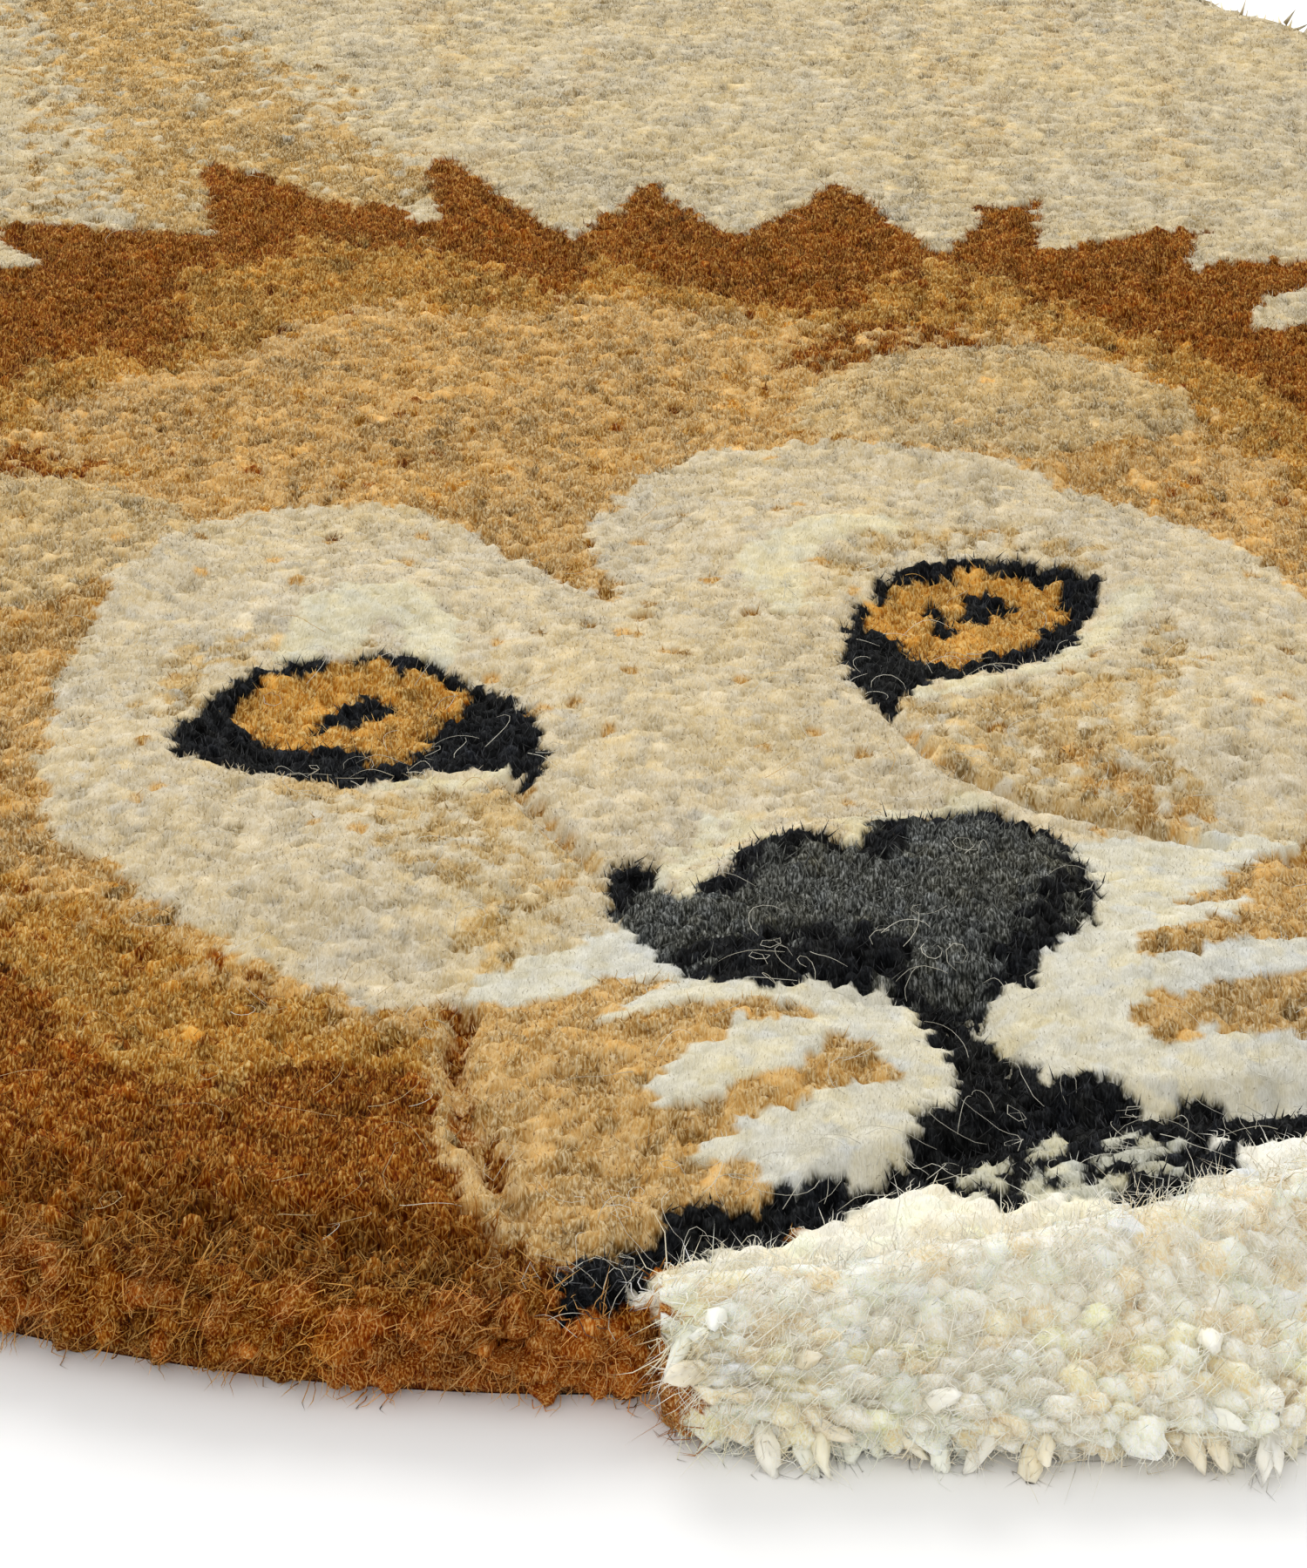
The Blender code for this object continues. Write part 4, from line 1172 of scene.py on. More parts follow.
@dataclass
class PilePlan:
    """Where the upright tufts stand, finer round the face than on the back, and their colours."""

    shape: PeltShape
    drawing: Drawing
    rim_depth: float = 0.0075
    face_half_size: tuple[float, float] = (0.128, 0.145)
    face_middle: float = -0.045
    close_area: Keys = ((-38, 526), (364, 385), (-3, -290), (-180, -180))
    mane_edge: float = 0.262
    crown_from: float = 0.075
    lower_mane_reach: float = 0.226
    lower_mane_below: float = -0.03
    lower_mane_off_middle: float = 0.092
    shoulders_from: float = 0.36
    legs_off_middle: float = 0.30
    legs_from: float = 0.86
    grades: list[Grade] = field(default_factory=lambda: [
        Grade(0.0031, 0.0013, 0.0003, Brush(
            seed=1, height=0.0012, radius=0.0015, fibres=3, fibre_width=0.00036, fibre_start=-0.45,
            splay=0.0010, curl=0.0006, dome=0.0008, fibre_reach=(0.9, 1.3)),
            (Zone.FACE, Zone.CROWN, Zone.CHEEKS)),
        Grade(0.0042, 0.0030, 0.0009, Brush(
            seed=2, height=0.0022, radius=0.0021, fibres=5, fibre_width=0.00032, fibre_start=-0.4,
            splay=0.0018, bends=2, curl=0.0012, dome=0.0013, fibre_reach=(0.8, 1.5)),
            (Zone.LOWER_MANE, Zone.CHIN)),
        Grade(0.0035, 0.0014, 0.0003, Brush(
            seed=3, height=0.0012, radius=0.0018, fibres=2, fibre_width=0.0004, fibre_start=-0.45,
            splay=0.0011, curl=0.0007, dome=0.0008, fibre_reach=(0.9, 1.3)),
            (Zone.NAPE, Zone.SHOULDERS)),
        Grade(0.0070, 0.0014, 0.0004, Brush(
            seed=4, height=0.0030, radius=0.0035, fibres=2, fibre_width=0.0024, fibre_start=-0.45,
            splay=0.0014, curl=0.0010, dome=0.0008, fibre_reach=(0.7, 1.2), variants=12),
            (Zone.MANE_SIDES, Zone.BACK, Zone.LEGS))])

    def __post_init__(self) -> None:
        """Places the tufts of each grade."""
        outline = self.shape.outline()
        for grade in self.grades:
            chance = seeded(int(grade.pitch * 1e5))
            points = hexagon_field(outline.min(axis=0), outline.max(axis=0), grade.pitch, chance)
            zone_of = self.zone_of(points)
            here = np.isin(zone_of, [list(Zone).index(zone) for zone in grade.zones])
            points, zone_of = points[here], zone_of[here]
            inside = self.shape.depth_inside(points) > self.rim_depth
            grade.points, grade.zone_of = points[inside], zone_of[inside]
            grade.colour = self.drawing.colours(grade.points)

    def is_close(self, points: Array) -> Array:
        """Whether each point lies in the part that is made finely."""
        return is_inside(points, np.array(self.close_area, float) * MM)

    def zone_of(self, points: Array) -> Array:
        """The zone of each point, as its place in the list of zones."""
        across, along = np.abs(points[:, 0]), points[:, 1]
        reach = self.shape.mane_reach(points)
        close, mane = self.is_close(points), reach < self.mane_edge
        face = np.hypot(across / self.face_half_size[0],
                        (along - self.face_middle) / self.face_half_size[1]) < 1.0
        upper, far = along > self.crown_from, along > self.shoulders_from
        legs = (across > self.legs_off_middle) | (along > self.legs_from)
        lips = self.drawing.in_lip(points)
        chin = self.drawing.in_chin(points) & ~lips
        low = (along < self.lower_mane_below) & (reach > self.lower_mane_reach)
        low &= close & mane & ~chin & ~lips & (across > self.lower_mane_off_middle)
        head = close & mane & ~chin & ~low
        rules = {Zone.FACE: head & face, Zone.CROWN: head & ~face & upper,
                 Zone.CHEEKS: head & ~face & ~upper, Zone.LOWER_MANE: low, Zone.CHIN: chin,
                 Zone.NAPE: close & ~mane & ~far,
                 Zone.SHOULDERS: close & ~mane & far, Zone.MANE_SIDES: ~close & mane & ~chin,
                 Zone.LEGS: ~close & ~mane & legs, Zone.BACK: ~close & ~mane & ~legs}
        return np.select([rules[zone] for zone in Zone], list(range(len(Zone))))


def combed(points: Array, height: Array, lie: tuple[float, float] = (-0.35, -0.94),
           stretch: float = STREAK_STRETCH) -> Array:
    """Places in which streaks run the way that the pile lies.

    Args:
        points: places, as rows of x and y.
        height: the height of each.
        lie: the way that the pile lies.
        stretch: the share of its length that a streak keeps.

    Returns:
        Rows of a place across the streaks, along them and up.
    """
    warp = 0.0006 * drift(points, 0.0038, 81)
    across = points @ (-lie[1], lie[0]) + warp
    along = points @ lie
    return np.stack([across, stretch * along, stretch * height], axis=1)


@dataclass
class PileSurface:
    """The rounded tops of the tufts, as one height and colour for each place."""

    shape: PeltShape
    plan: PilePlan
    inset: float = 0.0050
    drop: float = 0.0006
    edge_drop: float = 0.0060
    edge_width: float = 0.007
    warp: float = 0.00045
    warp_size: float = 0.0014
    rough: float = 0.00018
    rough_size: float = 0.0011
    tuft_radius: float = 0.58

    def top(self, points: Array) -> Array:
        """The surface's height at each point, without the rounding of single tufts."""
        depth = self.shape.depth_inside(points) - self.inset
        fall = (self.edge_drop - self.drop) * (1.0 - smoothstep(depth / self.edge_width))
        return self.shape.pile_top(points) - self.drop - fall

    def of_tufts(self, value: str) -> Array:
        """A grade's value for every tuft."""
        return np.concatenate([np.full(len(grade.points), getattr(grade, value))
                               for grade in self.plan.grades])

    def rounded(self, points: Array) -> tuple[Array, Array, Array]:
        """The height, the colour and the nearness to a gap at each point."""
        chance = seeded(4)
        moved = points + self.warp * drift_pair(points, self.warp_size, 71)
        distance, number = nearest(moved, np.vstack([grade.points for grade in self.plan.grades]))
        gap = np.clip(distance / (self.tuft_radius * self.of_tufts("pitch")[number]), 0.0, 1.0) ** 2
        uneven = self.of_tufts("uneven")
        offset = uneven * chance.normal(0.0, 1.0, len(uneven))
        colour = np.vstack([grade.colour for grade in self.plan.grades])[number]
        loose = np.interp(lightness(colour), (0.05, 0.30, 0.55), (1.7, 1.3, 0.40))
        height = self.top(points) + loose * (offset[number] - self.of_tufts("relief")[number] * gap)
        height += self.rough * drift(points, self.rough_size, 73)
        return height, colour, gap


def slab(name: str, ring: Array, inner: Array, bottom: float, wool: Material,
         surface: PileSurface) -> Object:
    """A closed slab of pile with the surface's top and a flat underside.

    Args:
        name: its name.
        ring: its outline.
        inner: points inside the outline.
        bottom: the height of its underside.
        wool: its finish.
        surface: the top.

    Returns:
        The slab.
    """
    count = len(ring)
    flat = [Vector(place) for place in np.vstack([ring, inner])]
    places, _, faces, origins, _, _ = delaunay_2d_cdt(flat, [], [list(range(count))], 1, 1e-6)
    top = np.array([tuple(place) for place in places])
    height, colour, gap = surface.rounded(top)
    of_ring = {old: new for new, old_ones in enumerate(origins) for old in old_ones if old < count}
    edge = [of_ring[index] for index in range(count)]
    corners = np.vstack([np.column_stack([top, height]), np.column_stack([ring, np.full(count, bottom)])])
    first = len(top)
    around = []
    for index in range(count):
        after = (index + 1) % count
        around.append((first + index, first + after, edge[after], edge[index]))
    underside = tuple(first + index for index in range(count - 1, -1, -1))
    reach = np.concatenate([reach_of(gap), np.zeros(count)])
    mesh = mesh_from(name, surface.shape.placed(corners), [*faces, *around, underside],
                     {"yarn": np.vstack([colour, colour[edge]]), "reach": reach,
                      "strand": combed(corners[:, :2], corners[:, 2])})
    return dressed(name, mesh, wool)


@dataclass
class PileBed:
    """The dense body of the whole pile, which lies under the finer slabs."""

    surface: PileSurface
    wool: Material
    spacing: float = 0.0066
    margin: float = 0.0020
    lowered: float = 0.0024

    def build(self) -> Object:
        """The bed, a closed sheet."""
        shape, plan = self.surface.shape, self.surface.plan
        loop = shape.outline()
        run = np.roll(loop, -1, axis=0) - np.roll(loop, 1, axis=0)
        ring = loop - outward_of(run) * self.surface.inset
        inner = hexagon_field(ring.min(axis=0), ring.max(axis=0), self.spacing, seeded(3))
        inner = inner[shape.depth_inside(inner) > self.surface.inset + self.margin]
        piece = slab("pile_bed", ring, inner, 0.0, self.wool, self.surface)
        corners = piece.data.vertices
        points = np.array([(corner.co.x, corner.co.y - shape.head_y) for corner in corners])
        for number in np.flatnonzero(plan.is_close(points)):
            corners[number].co.z = max(corners[number].co.z - self.lowered, 0.0)
        finish_piece(piece)
        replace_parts(piece, "rug_pile")
        return piece


@dataclass
class CloseSlab:
    """A stretch of the pile whose single tufts are modelled.

    Its outline is where rays from its middle leave the stretch.
    """

    name: str
    surface: PileSurface
    wool: Material
    middle: tuple[float, float]
    in_mane: bool
    spacing: float
    overlap: float = 0.0012
    margin: float = 0.0006
    bottom: float = 0.0070
    rays: int = 1440
    ray_step: float = 0.004
    longest_ray: float = 0.75
    halvings: int = 8

    def holds(self, points: Array) -> Array:
        """Whether each point belongs to the stretch."""
        shape, plan = self.surface.shape, self.surface.plan
        reach = shape.mane_reach(points)
        if self.in_mane:
            side = reach < plan.mane_edge + self.overlap
        else:
            side = reach > plan.mane_edge - self.overlap
        return plan.is_close(points) & side & (shape.depth_inside(points) > self.surface.inset + self.margin)

    def ring(self) -> tuple[Array, Array]:
        """The angles and lengths of the rays from the middle to the stretch's edge."""
        angles = np.linspace(-math.pi, math.pi, self.rays, endpoint=False)
        away = np.stack([np.cos(angles), np.sin(angles)], axis=1)
        inside, outside = np.zeros(len(angles)), np.zeros(len(angles))
        reached = np.zeros(len(angles), bool)
        for length in np.arange(self.ray_step, self.longest_ray, self.ray_step):
            held = self.holds(np.array(self.middle) + away * length)
            inside[held & ~reached] = length
            outside[~held & ~reached] = length
            reached |= ~held
            if reached.all():
                break
        for _ in range(self.halvings):
            between = 0.5 * (inside + outside)
            held = self.holds(np.array(self.middle) + away * between[:, None])
            inside, outside = np.where(held, between, inside), np.where(held, outside, between)
        return angles, inside

    def build(self) -> Object:
        """The slab, a closed solid."""
        angles, lengths = self.ring()
        middle = np.array(self.middle)
        loop = middle + np.stack([np.cos(angles), np.sin(angles)], axis=1) * lengths[:, None]
        closed = np.vstack([loop, loop[:1]])
        travelled = length_so_far(closed)
        marks = np.arange(0.0, travelled[-1] - 0.5 * self.spacing, self.spacing)
        ring = points_along(closed, travelled, marks)
        inner = hexagon_field(ring.min(axis=0), ring.max(axis=0), self.spacing, seeded(5))
        away = inner - middle
        limit = np.interp(np.arctan2(away[:, 1], away[:, 0]), angles, lengths, period=2.0 * math.pi)
        inner = inner[np.hypot(*away.T) < limit - 1.2 * self.spacing]
        piece = slab(self.name, ring, inner, self.bottom, self.wool, self.surface)
        finish_piece(piece)
        return piece


@dataclass
class PileFields:
    """Loose ends of fibre that stand out of the upright tufts all over the rug."""

    surface: PileSurface
    planter: Planter
    wool: Material
    chin_wool: Material
    lean_together: float = 0.20
    lean_alone: float = 0.14
    tall_together: float = 0.25
    tall_alone: float = 0.12

    def lean(self, points: Array, chance: Chance) -> Array:
        """How each tuft leans: with its neighbours, and a little by itself."""
        aside = drift_pair(points, 0.011, 51) * self.lean_together
        aside += chance.normal(0.0, self.lean_alone, aside.shape)
        return tilted(np.column_stack([aside, np.ones(len(points))]))

    def build(self) -> None:
        """All the fields of upright tufts."""
        for grade in self.surface.plan.grades:
            chance = seeded(grade.brush.seed)
            base = self.surface.top(grade.points)
            count = len(grade.points)
            tall = 1.0 + self.tall_together * drift(grade.points, 0.0065, 53)
            tall = tall + chance.normal(0.0, self.tall_alone, count)
            broad = chance.uniform(0.90, 1.15, count)
            pale = np.interp(lightness(grade.colour), (0.30, 0.60), (1.1, 0.6))
            size = np.stack([broad, broad, tall], axis=1) * pale[:, None]
            lean = self.lean(grade.points, chance)
            roots = np.column_stack([grade.points, base])
            for zone in grade.zones:
                here = grade.zone_of == list(Zone).index(zone)
                slot, wool = ("chin_wool", self.chin_wool) if zone is Zone.CHIN else ("pile_wool", self.wool)
                self.planter.plant(zone.value, slot, grade.brush, wool, roots[here], lean[here], size[here],
                                   grade.colour[here])


@dataclass
class Roll:
    """A soft roll of tufts along the rug's edge, from the top of the pile round to the floor.

    Across the roll, each key has an inset from the outline, the share of the roll's overhang that moves
    it outwards, a height and the share of the pile's height that is added to it.
    """

    name: str
    slot: str
    shape: PeltShape
    drawing: Drawing
    wool: Material
    keys: Sections
    turns: tuple[float, float] = (17.0, 180.0)
    fine_turns: tuple[float, float] = (17.0, 46.0)
    fine_spacing: float = 0.0012
    wide_spacing: float = 0.0060
    columns: int = 20
    tuft: tuple[float, float] = (0.0046, 0.0046)
    relief: float = 0.0030
    uneven: float = 0.0011
    rough: float = 0.0003
    warp: float = 0.0009
    plain_from: float = 0.2
    top_inset: float = 0.012
    run_reach: float = 0.004
    slope_reach: float = 0.02
    back_in: float = 0.6
    back_low: float = 0.0003
    back_height: float = 0.4
    seed: int = 61

    def loose(self, share: Array) -> Array:
        """How far the tufts' relief is opened at shares of the way across."""
        return np.sin(np.pi * np.clip(share, 0.08, 1.0)) ** 0.4

    def overhang(self, turn: Array) -> Array:
        """How far the roll hangs out beyond the outline."""
        return np.zeros(len(turn))

    @cached_property
    def route(self) -> tuple[Array, Array, Array]:
        """The outline with the length travelled and the turn at each of its points."""
        loop = self.shape.outline()
        closed = np.vstack([loop, loop[:1]])
        turn = self.shape.turn(closed)
        turn[closed[:, 1] > self.plain_from] = 180.0
        return closed, length_so_far(closed), turn

    @property
    def whole(self) -> float:
        """The outline's whole length."""
        return self.route[1][-1]

    def turn_at(self, along: Array | float) -> Array:
        """The turn at lengths along the outline."""
        _, travelled, turn = self.route
        return np.interp(np.mod(along, self.whole), travelled, turn)

    def stations(self) -> Array:
        """Lengths along the outline at which the roll has a row of corners."""
        marks, mark = [], 0.0
        while mark < self.whole - 0.5 * self.fine_spacing:
            marks.append(mark)
            fine = self.fine_turns[0] <= self.turn_at(mark) <= self.fine_turns[1]
            mark += self.fine_spacing if fine else self.wide_spacing
        return np.array(marks)

    def across(self, share: Array) -> Array:
        """The roll's keys, smoothed, at shares of the way across it."""
        keys = np.array(self.keys, float) * (MM, 1.0, MM, 1.0)
        ends = np.vstack([2 * keys[0] - keys[1], keys, 2 * keys[-1] - keys[-2]])
        step = np.clip(share, 0.0, 1.0) * (len(keys) - 1)
        low = np.minimum(step.astype(int), len(keys) - 2)
        return catmull_rom(*(ends[low + shift] for shift in range(4)), (step - low)[:, None])

    def place(self, along: Array, share: Array) -> tuple[Array, Array]:
        """The smooth roll's surface and the direction away from it.

        Args:
            along: lengths along the outline.
            share: shares of the way across the roll, from the top to the floor.

        Returns:
            Places and unit directions, in the head's frame.
        """
        closed, travelled, _ = self.route
        along = np.mod(along, self.whole)
        behind, point, ahead = (points_along(closed, travelled, np.mod(along + step, self.whole))
                                for step in (-self.run_reach, 0.0, self.run_reach))
        out = outward_of(ahead - behind)
        hang = self.overhang(self.turn_at(along))
        inner = self.shape.pile_top(point - out * self.top_inset)

        def section(at: Array) -> tuple[Array, Array]:
            """The distance out of the outline and the height at shares of the way across."""
            inset, hanging, height, of_top = self.across(at).T
            return hanging * hang - inset, height + of_top * inner

        away, height = section(share)
        before, after = section(share - self.slope_reach), section(share + self.slope_reach)
        slope = np.stack([after[0] - before[0], after[1] - before[1]], axis=1)
        slope /= np.hypot(*slope.T)[:, None]
        direction = np.column_stack([out * -slope[:, 1:2], slope[:, 0]])
        return np.column_stack([point + out * away[:, None], height]), direction

    @cached_property
    def lengths_across(self) -> tuple[Array, Array]:
        """Shares of the way across the roll, and the distance to each where it hangs out furthest."""
        share = np.linspace(0.0, 1.0, 60)
        inset, hanging, height, of_top = self.across(share).T
        hang = float(self.overhang(np.array([0.0]))[0])
        steps = np.hypot(np.diff(hanging * hang - inset), np.diff(height + of_top * self.shape.pile_height))
        return share, np.concatenate([[0.0], np.cumsum(steps)])

    @property
    def length_across(self) -> float:
        """The whole distance across the roll."""
        return float(self.lengths_across[1][-1])

    def share_at(self, length: Array) -> Array:
        """The shares of the way across the roll at lengths across it."""
        shares, lengths = self.lengths_across
        return np.interp(length, lengths, shares)

    def length_at(self, share: Array) -> Array:
        """The lengths across the roll at shares of the way across it."""
        shares, lengths = self.lengths_across
        return np.interp(share, shares, lengths)

    @cached_property
    def tufts(self) -> Array:
        """The tufts' places, as lengths along and across."""
        chance = seeded(self.seed)
        wide, tall = self.tuft
        half = 0.5 * self.whole / wide
        places = hexagon_field(np.array((-half, 0.0)), np.array((half, self.length_across / tall)), 1.0,
                               chance, 0.3)
        return places * (wide, tall)

    def relief_at(self, along: Array, share: Array) -> tuple[Array, Array, Array]:
        """How far the tufts stand out, how near each place is to a gap, and the nearest tuft's number."""
        chance = seeded(self.seed + 1)
        along = np.mod(along + 0.5 * self.whole, self.whole) - 0.5 * self.whole
        places = np.stack([along, self.length_at(share)], axis=1)
        places = places + self.warp * drift_pair(places, 0.003, 62)
        distance, number = nearest(places / self.tuft, self.tufts / self.tuft)
        gap = smoothstep(distance / 0.66)
        offset = self.uneven * chance.normal(0.0, 1.0, len(self.tufts))
        rough = self.rough * (drift(places, 0.0019, 64) + 0.6 * drift(places, 0.0011, 65))
        return offset[number] - self.relief * gap + rough, gap, number

    def tuft_colours(self) -> Array:
        """The colour of each tuft."""
        share = self.share_at(self.tufts[:, 1])
        place, _ = self.place(self.tufts[:, 0], np.clip(share, 0.05, 0.25))
        return self.drawing.colours(place[:, :2], hangs=share > 0.30)

    def build(self) -> Object:
        """The roll, a closed solid."""
        marks = self.stations()
        here = self.turn_at(marks)
        if self.turns[0] == 0.0:
            marks = np.where(marks > 0.5 * self.whole, marks - self.whole, marks)
        marks = np.sort(marks[(here >= self.turns[0]) & (here <= self.turns[1])])
        rows, columns = len(marks), self.columns
        share = self.share_at(np.linspace(0.0, self.length_across, columns))
        along, across = (grid.ravel() for grid in np.meshgrid(marks, share, indexing="ij"))
        place, direction = self.place(along, across)
        stand, gap, number = self.relief_at(along, across)
        place = place + direction * (stand * self.loose(across))[:, None]
        place[:, 2] = np.maximum(place[:, 2], LEAST_HEIGHT)
        corners = place.reshape(rows, columns, 3)
        back = corners[:, [-1, 0]].copy()
        towards = corners[:, 0, :2] - corners[:, -1, :2]
        back[:, 0, :2] += self.back_in * towards
        back[:, 0, 2] = self.back_low
        back[:, 1, 2] *= self.back_height
        corners = np.concatenate([corners, back], axis=1).reshape(-1, 3)
        colour, reach = self.tuft_colours()[number], reach_of(gap)
        strand = np.column_stack([along, STREAK_STRETCH * self.length_at(across), stand])
        values = {"yarn": colour, "reach": reach, "strand": strand}
        padded = {key: self.with_back(value, rows) for key, value in values.items()}
        padded["reach"] = padded["reach"][:, 0]
        faces = outward(corners, grid_faces(rows, columns + 2))
        mesh = mesh_from(self.name, self.shape.placed(corners), faces, padded)
        piece = dressed(self.name, mesh, self.wool)
        finish_piece(piece)
        return piece

    def with_back(self, value: Array, rows: int) -> Array:
        """A value of the roll's corners, with those of the back's corners added to each row."""
        grid = value.reshape(rows, self.columns, -1)
        return np.concatenate([grid, grid[:, [-1, 0]]], axis=1).reshape(rows * (self.columns + 2), -1)

    def fuzz(self, planter: Planter, name: str, fibre: Material, brush: Brush, pitch: float,
             turns: tuple[float, float], droop: float = 0.3,
             shine: tuple[float, float] = (0.7, 1.9)) -> Object:
        """Fibres that stand out of the roll.

        Args:
            planter: what plants them.
            name: the piece's name.
            fibre: the fibres' finish.
            brush: a tuft's fibres.
            pitch: distance between the tufts.
            turns: the stretch of the outline that has them.
            droop: how much the fibres lean down the roll.
            shine: the least and the most light that a fibre has, against its tuft.

        Returns:
            The piece.
        """
        chance = seeded(self.seed + 2)
        tall, half = self.length_across, 0.5 * self.whole
        roots = hexagon_field(np.array((-half, 0.0)), np.array((half, tall)), pitch, chance, 0.35)
        here = self.turn_at(roots[:, 0])
        roots = roots[(here >= turns[0]) & (here <= turns[1]) & (roots[:, 1] < 0.93 * tall)]
        share = self.share_at(roots[:, 1])
        place, direction = self.place(roots[:, 0], share)
        stand, _, number = self.relief_at(roots[:, 0], share)
        place = place + direction * (stand * self.loose(share) - 0.0004)[:, None]
        lower, _ = self.place(roots[:, 0], share + 0.03)
        down = lower - self.place(roots[:, 0], share - 0.03)[0]
        down /= np.maximum(np.linalg.norm(down, axis=1), 1e-6)[:, None]
        direction = direction + down * droop + chance.normal(0.0, 0.30, direction.shape)
        direction[:, 2] = np.where(place[:, 2] < 0.004, np.maximum(direction[:, 2], 0.0), direction[:, 2])
        size = chance.uniform(0.8, 1.25, (len(roots), 1)) * np.ones((1, 3))
        light = chance.uniform(*shine, (len(roots), 1))
        colour = np.clip(self.tuft_colours()[number] * light, 0.0, PALEST)
        return planter.plant(name, self.slot, brush, fibre, place, tilted(direction), size, colour, spin=0.0)


@dataclass
class ChinRoll(Roll):
    """The shaggy chin, which hangs out over the rug's edge."""

    half_angle: float = 17.5
    point: float = 1.3
    depth: tuple[float, float] = (0.0030, 0.0085)
    length: float = 0.0235
    length_at_end: float = 0.35
    end_fade: float = 1.5
    lock_run: float = 0.083
    lock_tries: int = 330
    lock_sunk: float = 0.0022

    def overhang(self, turn: Array) -> Array:
        """How far the chin hangs out beyond the outline."""
        full = (1.0 - np.clip(turn / self.half_angle, 0.0, 1.0)) ** self.point
        hang = self.depth[0] + (self.depth[1] - self.depth[0]) * full
        hang = hang + self.length * (self.length_at_end + (1.0 - self.length_at_end) * full)
        return hang * smoothstep((self.turns[1] - turn) / self.end_fade) ** 0.5

    def locks(self, planter: Planter, lock: Brush, wool: Material) -> Object:
        """Longer locks that stick out of the chin, most of them low down and at its ends."""
        chance = seeded(self.seed + 5)
        wanted = chance.uniform((-self.lock_run, 0.0, 0.0), (self.lock_run, 1.0, 1.0), (self.lock_tries, 3))
        here = self.turn_at(wanted[:, 0])
        share = 0.22 + 0.64 * wanted[:, 1]
        likely = 0.04 + 0.70 * smoothstep((share - 0.50) / 0.4) + 0.9 * smoothstep((here - 14.5) / 2.0)
        ends_low = (here > 15.0) & (share > 0.55)
        keep = (here < self.turns[1] - 0.7) & (wanted[:, 2] < likely) & ~ends_low
        along, share = wanted[keep, 0], share[keep]
        place, direction = self.place(along, share)
        stand, _, number = self.relief_at(along, share)
        sideways = np.sign(place[:, 0]) * smoothstep((here[keep] - 13.0) / 4.0)
        aim = direction * (1.0, 1.0, 0.8) + chance.normal(0.0, 0.35, direction.shape)
        aim[:, 0] += 1.6 * sideways
        aim[:, 2] -= 0.35 * smoothstep((share - 0.4) / 0.4)
        place = place + direction * (stand - self.lock_sunk)[:, None]
        size = chance.uniform(0.75, 1.15, (len(along), 1)) * np.ones((1, 3))
        return planter.plant("chin_locks", self.slot, lock, wool, place, tilted(aim), size,
                             self.tuft_colours()[number], spin=0.0)

    def loose(self, share: Array) -> Array:
        """How far the locks' relief is opened: less near the lips."""
        return super().loose(share) * (0.30 + 0.70 * smoothstep(share / 0.62))

    def tuft_colours(self) -> Array:
        """The colour of each lock: white, cream or a little tan; the tan, on more locks low on the chin, is
        partly the wool's own and partly painted shade.
        """
        chance = seeded(self.seed + 3)
        count = len(self.tufts)
        colour = np.tile(Yarn.CHIN.linear(), (count, 1)) * chance.normal(1.0, 0.07, (count, 1))
        share = self.share_at(self.tufts[:, 1])
        # some locks tinted tan, more of them low on the chin: partly the wool's own beige, partly painted
        # shade
        tan_tint_and_shade = chance.random(count) < 0.25 + 0.20 * share
        colour[tan_tint_and_shade] *= (0.98, 0.90, 0.77)
        end = self.turn_at(self.tufts[:, 0])
        end += 2.4 * share + chance.normal(0.0, 0.35, count)
        colour[end > self.turns[1] + 0.6] = Yarn.RUST.linear()
        return np.clip(np.hstack([colour, np.ones((count, 1))]), 0.0, PALEST)


RIM_KEYS: Sections = (
    (13.0, 0, -2.6, 1), (9.0, 0, -0.9, 1), (5.6, 0, -1.6, 1), (2.8, 0, 13.6, 0), (1.0, 0, 10.6, 0),
    (0.3, 0, 7.2, 0), (0.8, 0, 4.0, 0), (2.4, 0, 1.4, 0), (5.0, 0, 0.3, 0))
CHIN_KEYS: Sections = (
    (14.0, 0, -2.6, 1), (9.0, 0, 0.4, 1), (3.5, 0.02, 0.2, 1), (0.0, 0.30, 15.2, 0), (0.0, 0.62, 13.0, 0),
    (0.0, 0.88, 9.8, 0), (0.0, 0.98, 6.2, 0), (0.0, 0.94, 2.8, 0), (0.0, 0.80, 0.8, 0), (0.0, 0.55, 0.3, 0))

RIM_FUZZ = Brush(seed=7, height=0.0036, radius=0.0018, fibres=4, fibre_width=0.00023, fibre_start=-0.1,
                 splay=0.0016, bends=3, curl=0.0014, fibre_reach=(0.8, 1.5))
PLAIN_FUZZ = Brush(seed=8, height=0.0036, radius=0.0030, fibres=2, fibre_width=0.0016, fibre_start=-0.3,
                   splay=0.0014, curl=0.0010, fibre_reach=(0.7, 1.2), variants=12)
CHIN_FUZZ = Brush(seed=9, height=0.0040, radius=0.0018, fibres=4, fibre_width=0.00020, fibre_start=-0.1,
                  splay=0.0014, bends=2, curl=0.0020, fibre_reach=(0.9, 1.2))
LOCK = Brush(seed=10, height=0.0078, radius=0.0018, sides=7,
             rings=((0.08, 0.85), (0.36, 1.0), (0.64, 0.72), (0.86, 0.36)), uneven=0.22, fibres=6,
             fibre_width=0.00020, fibre_start=0.35, fibre_length=1.2, splay=0.0022, bends=2, curl=0.0018,
             droop=0.0018, core_reach=(0.55, 1.0), fibre_reach=(0.9, 1.2))


# ---- loose hairs ----

@dataclass(frozen=True)
class HairPatch:
    """A place with long loose hairs: its middle, half sizes, number of hairs and their colour."""

    middle: tuple[float, float]
    half_size: tuple[float, float]
    count: int
    yarn: Yarn


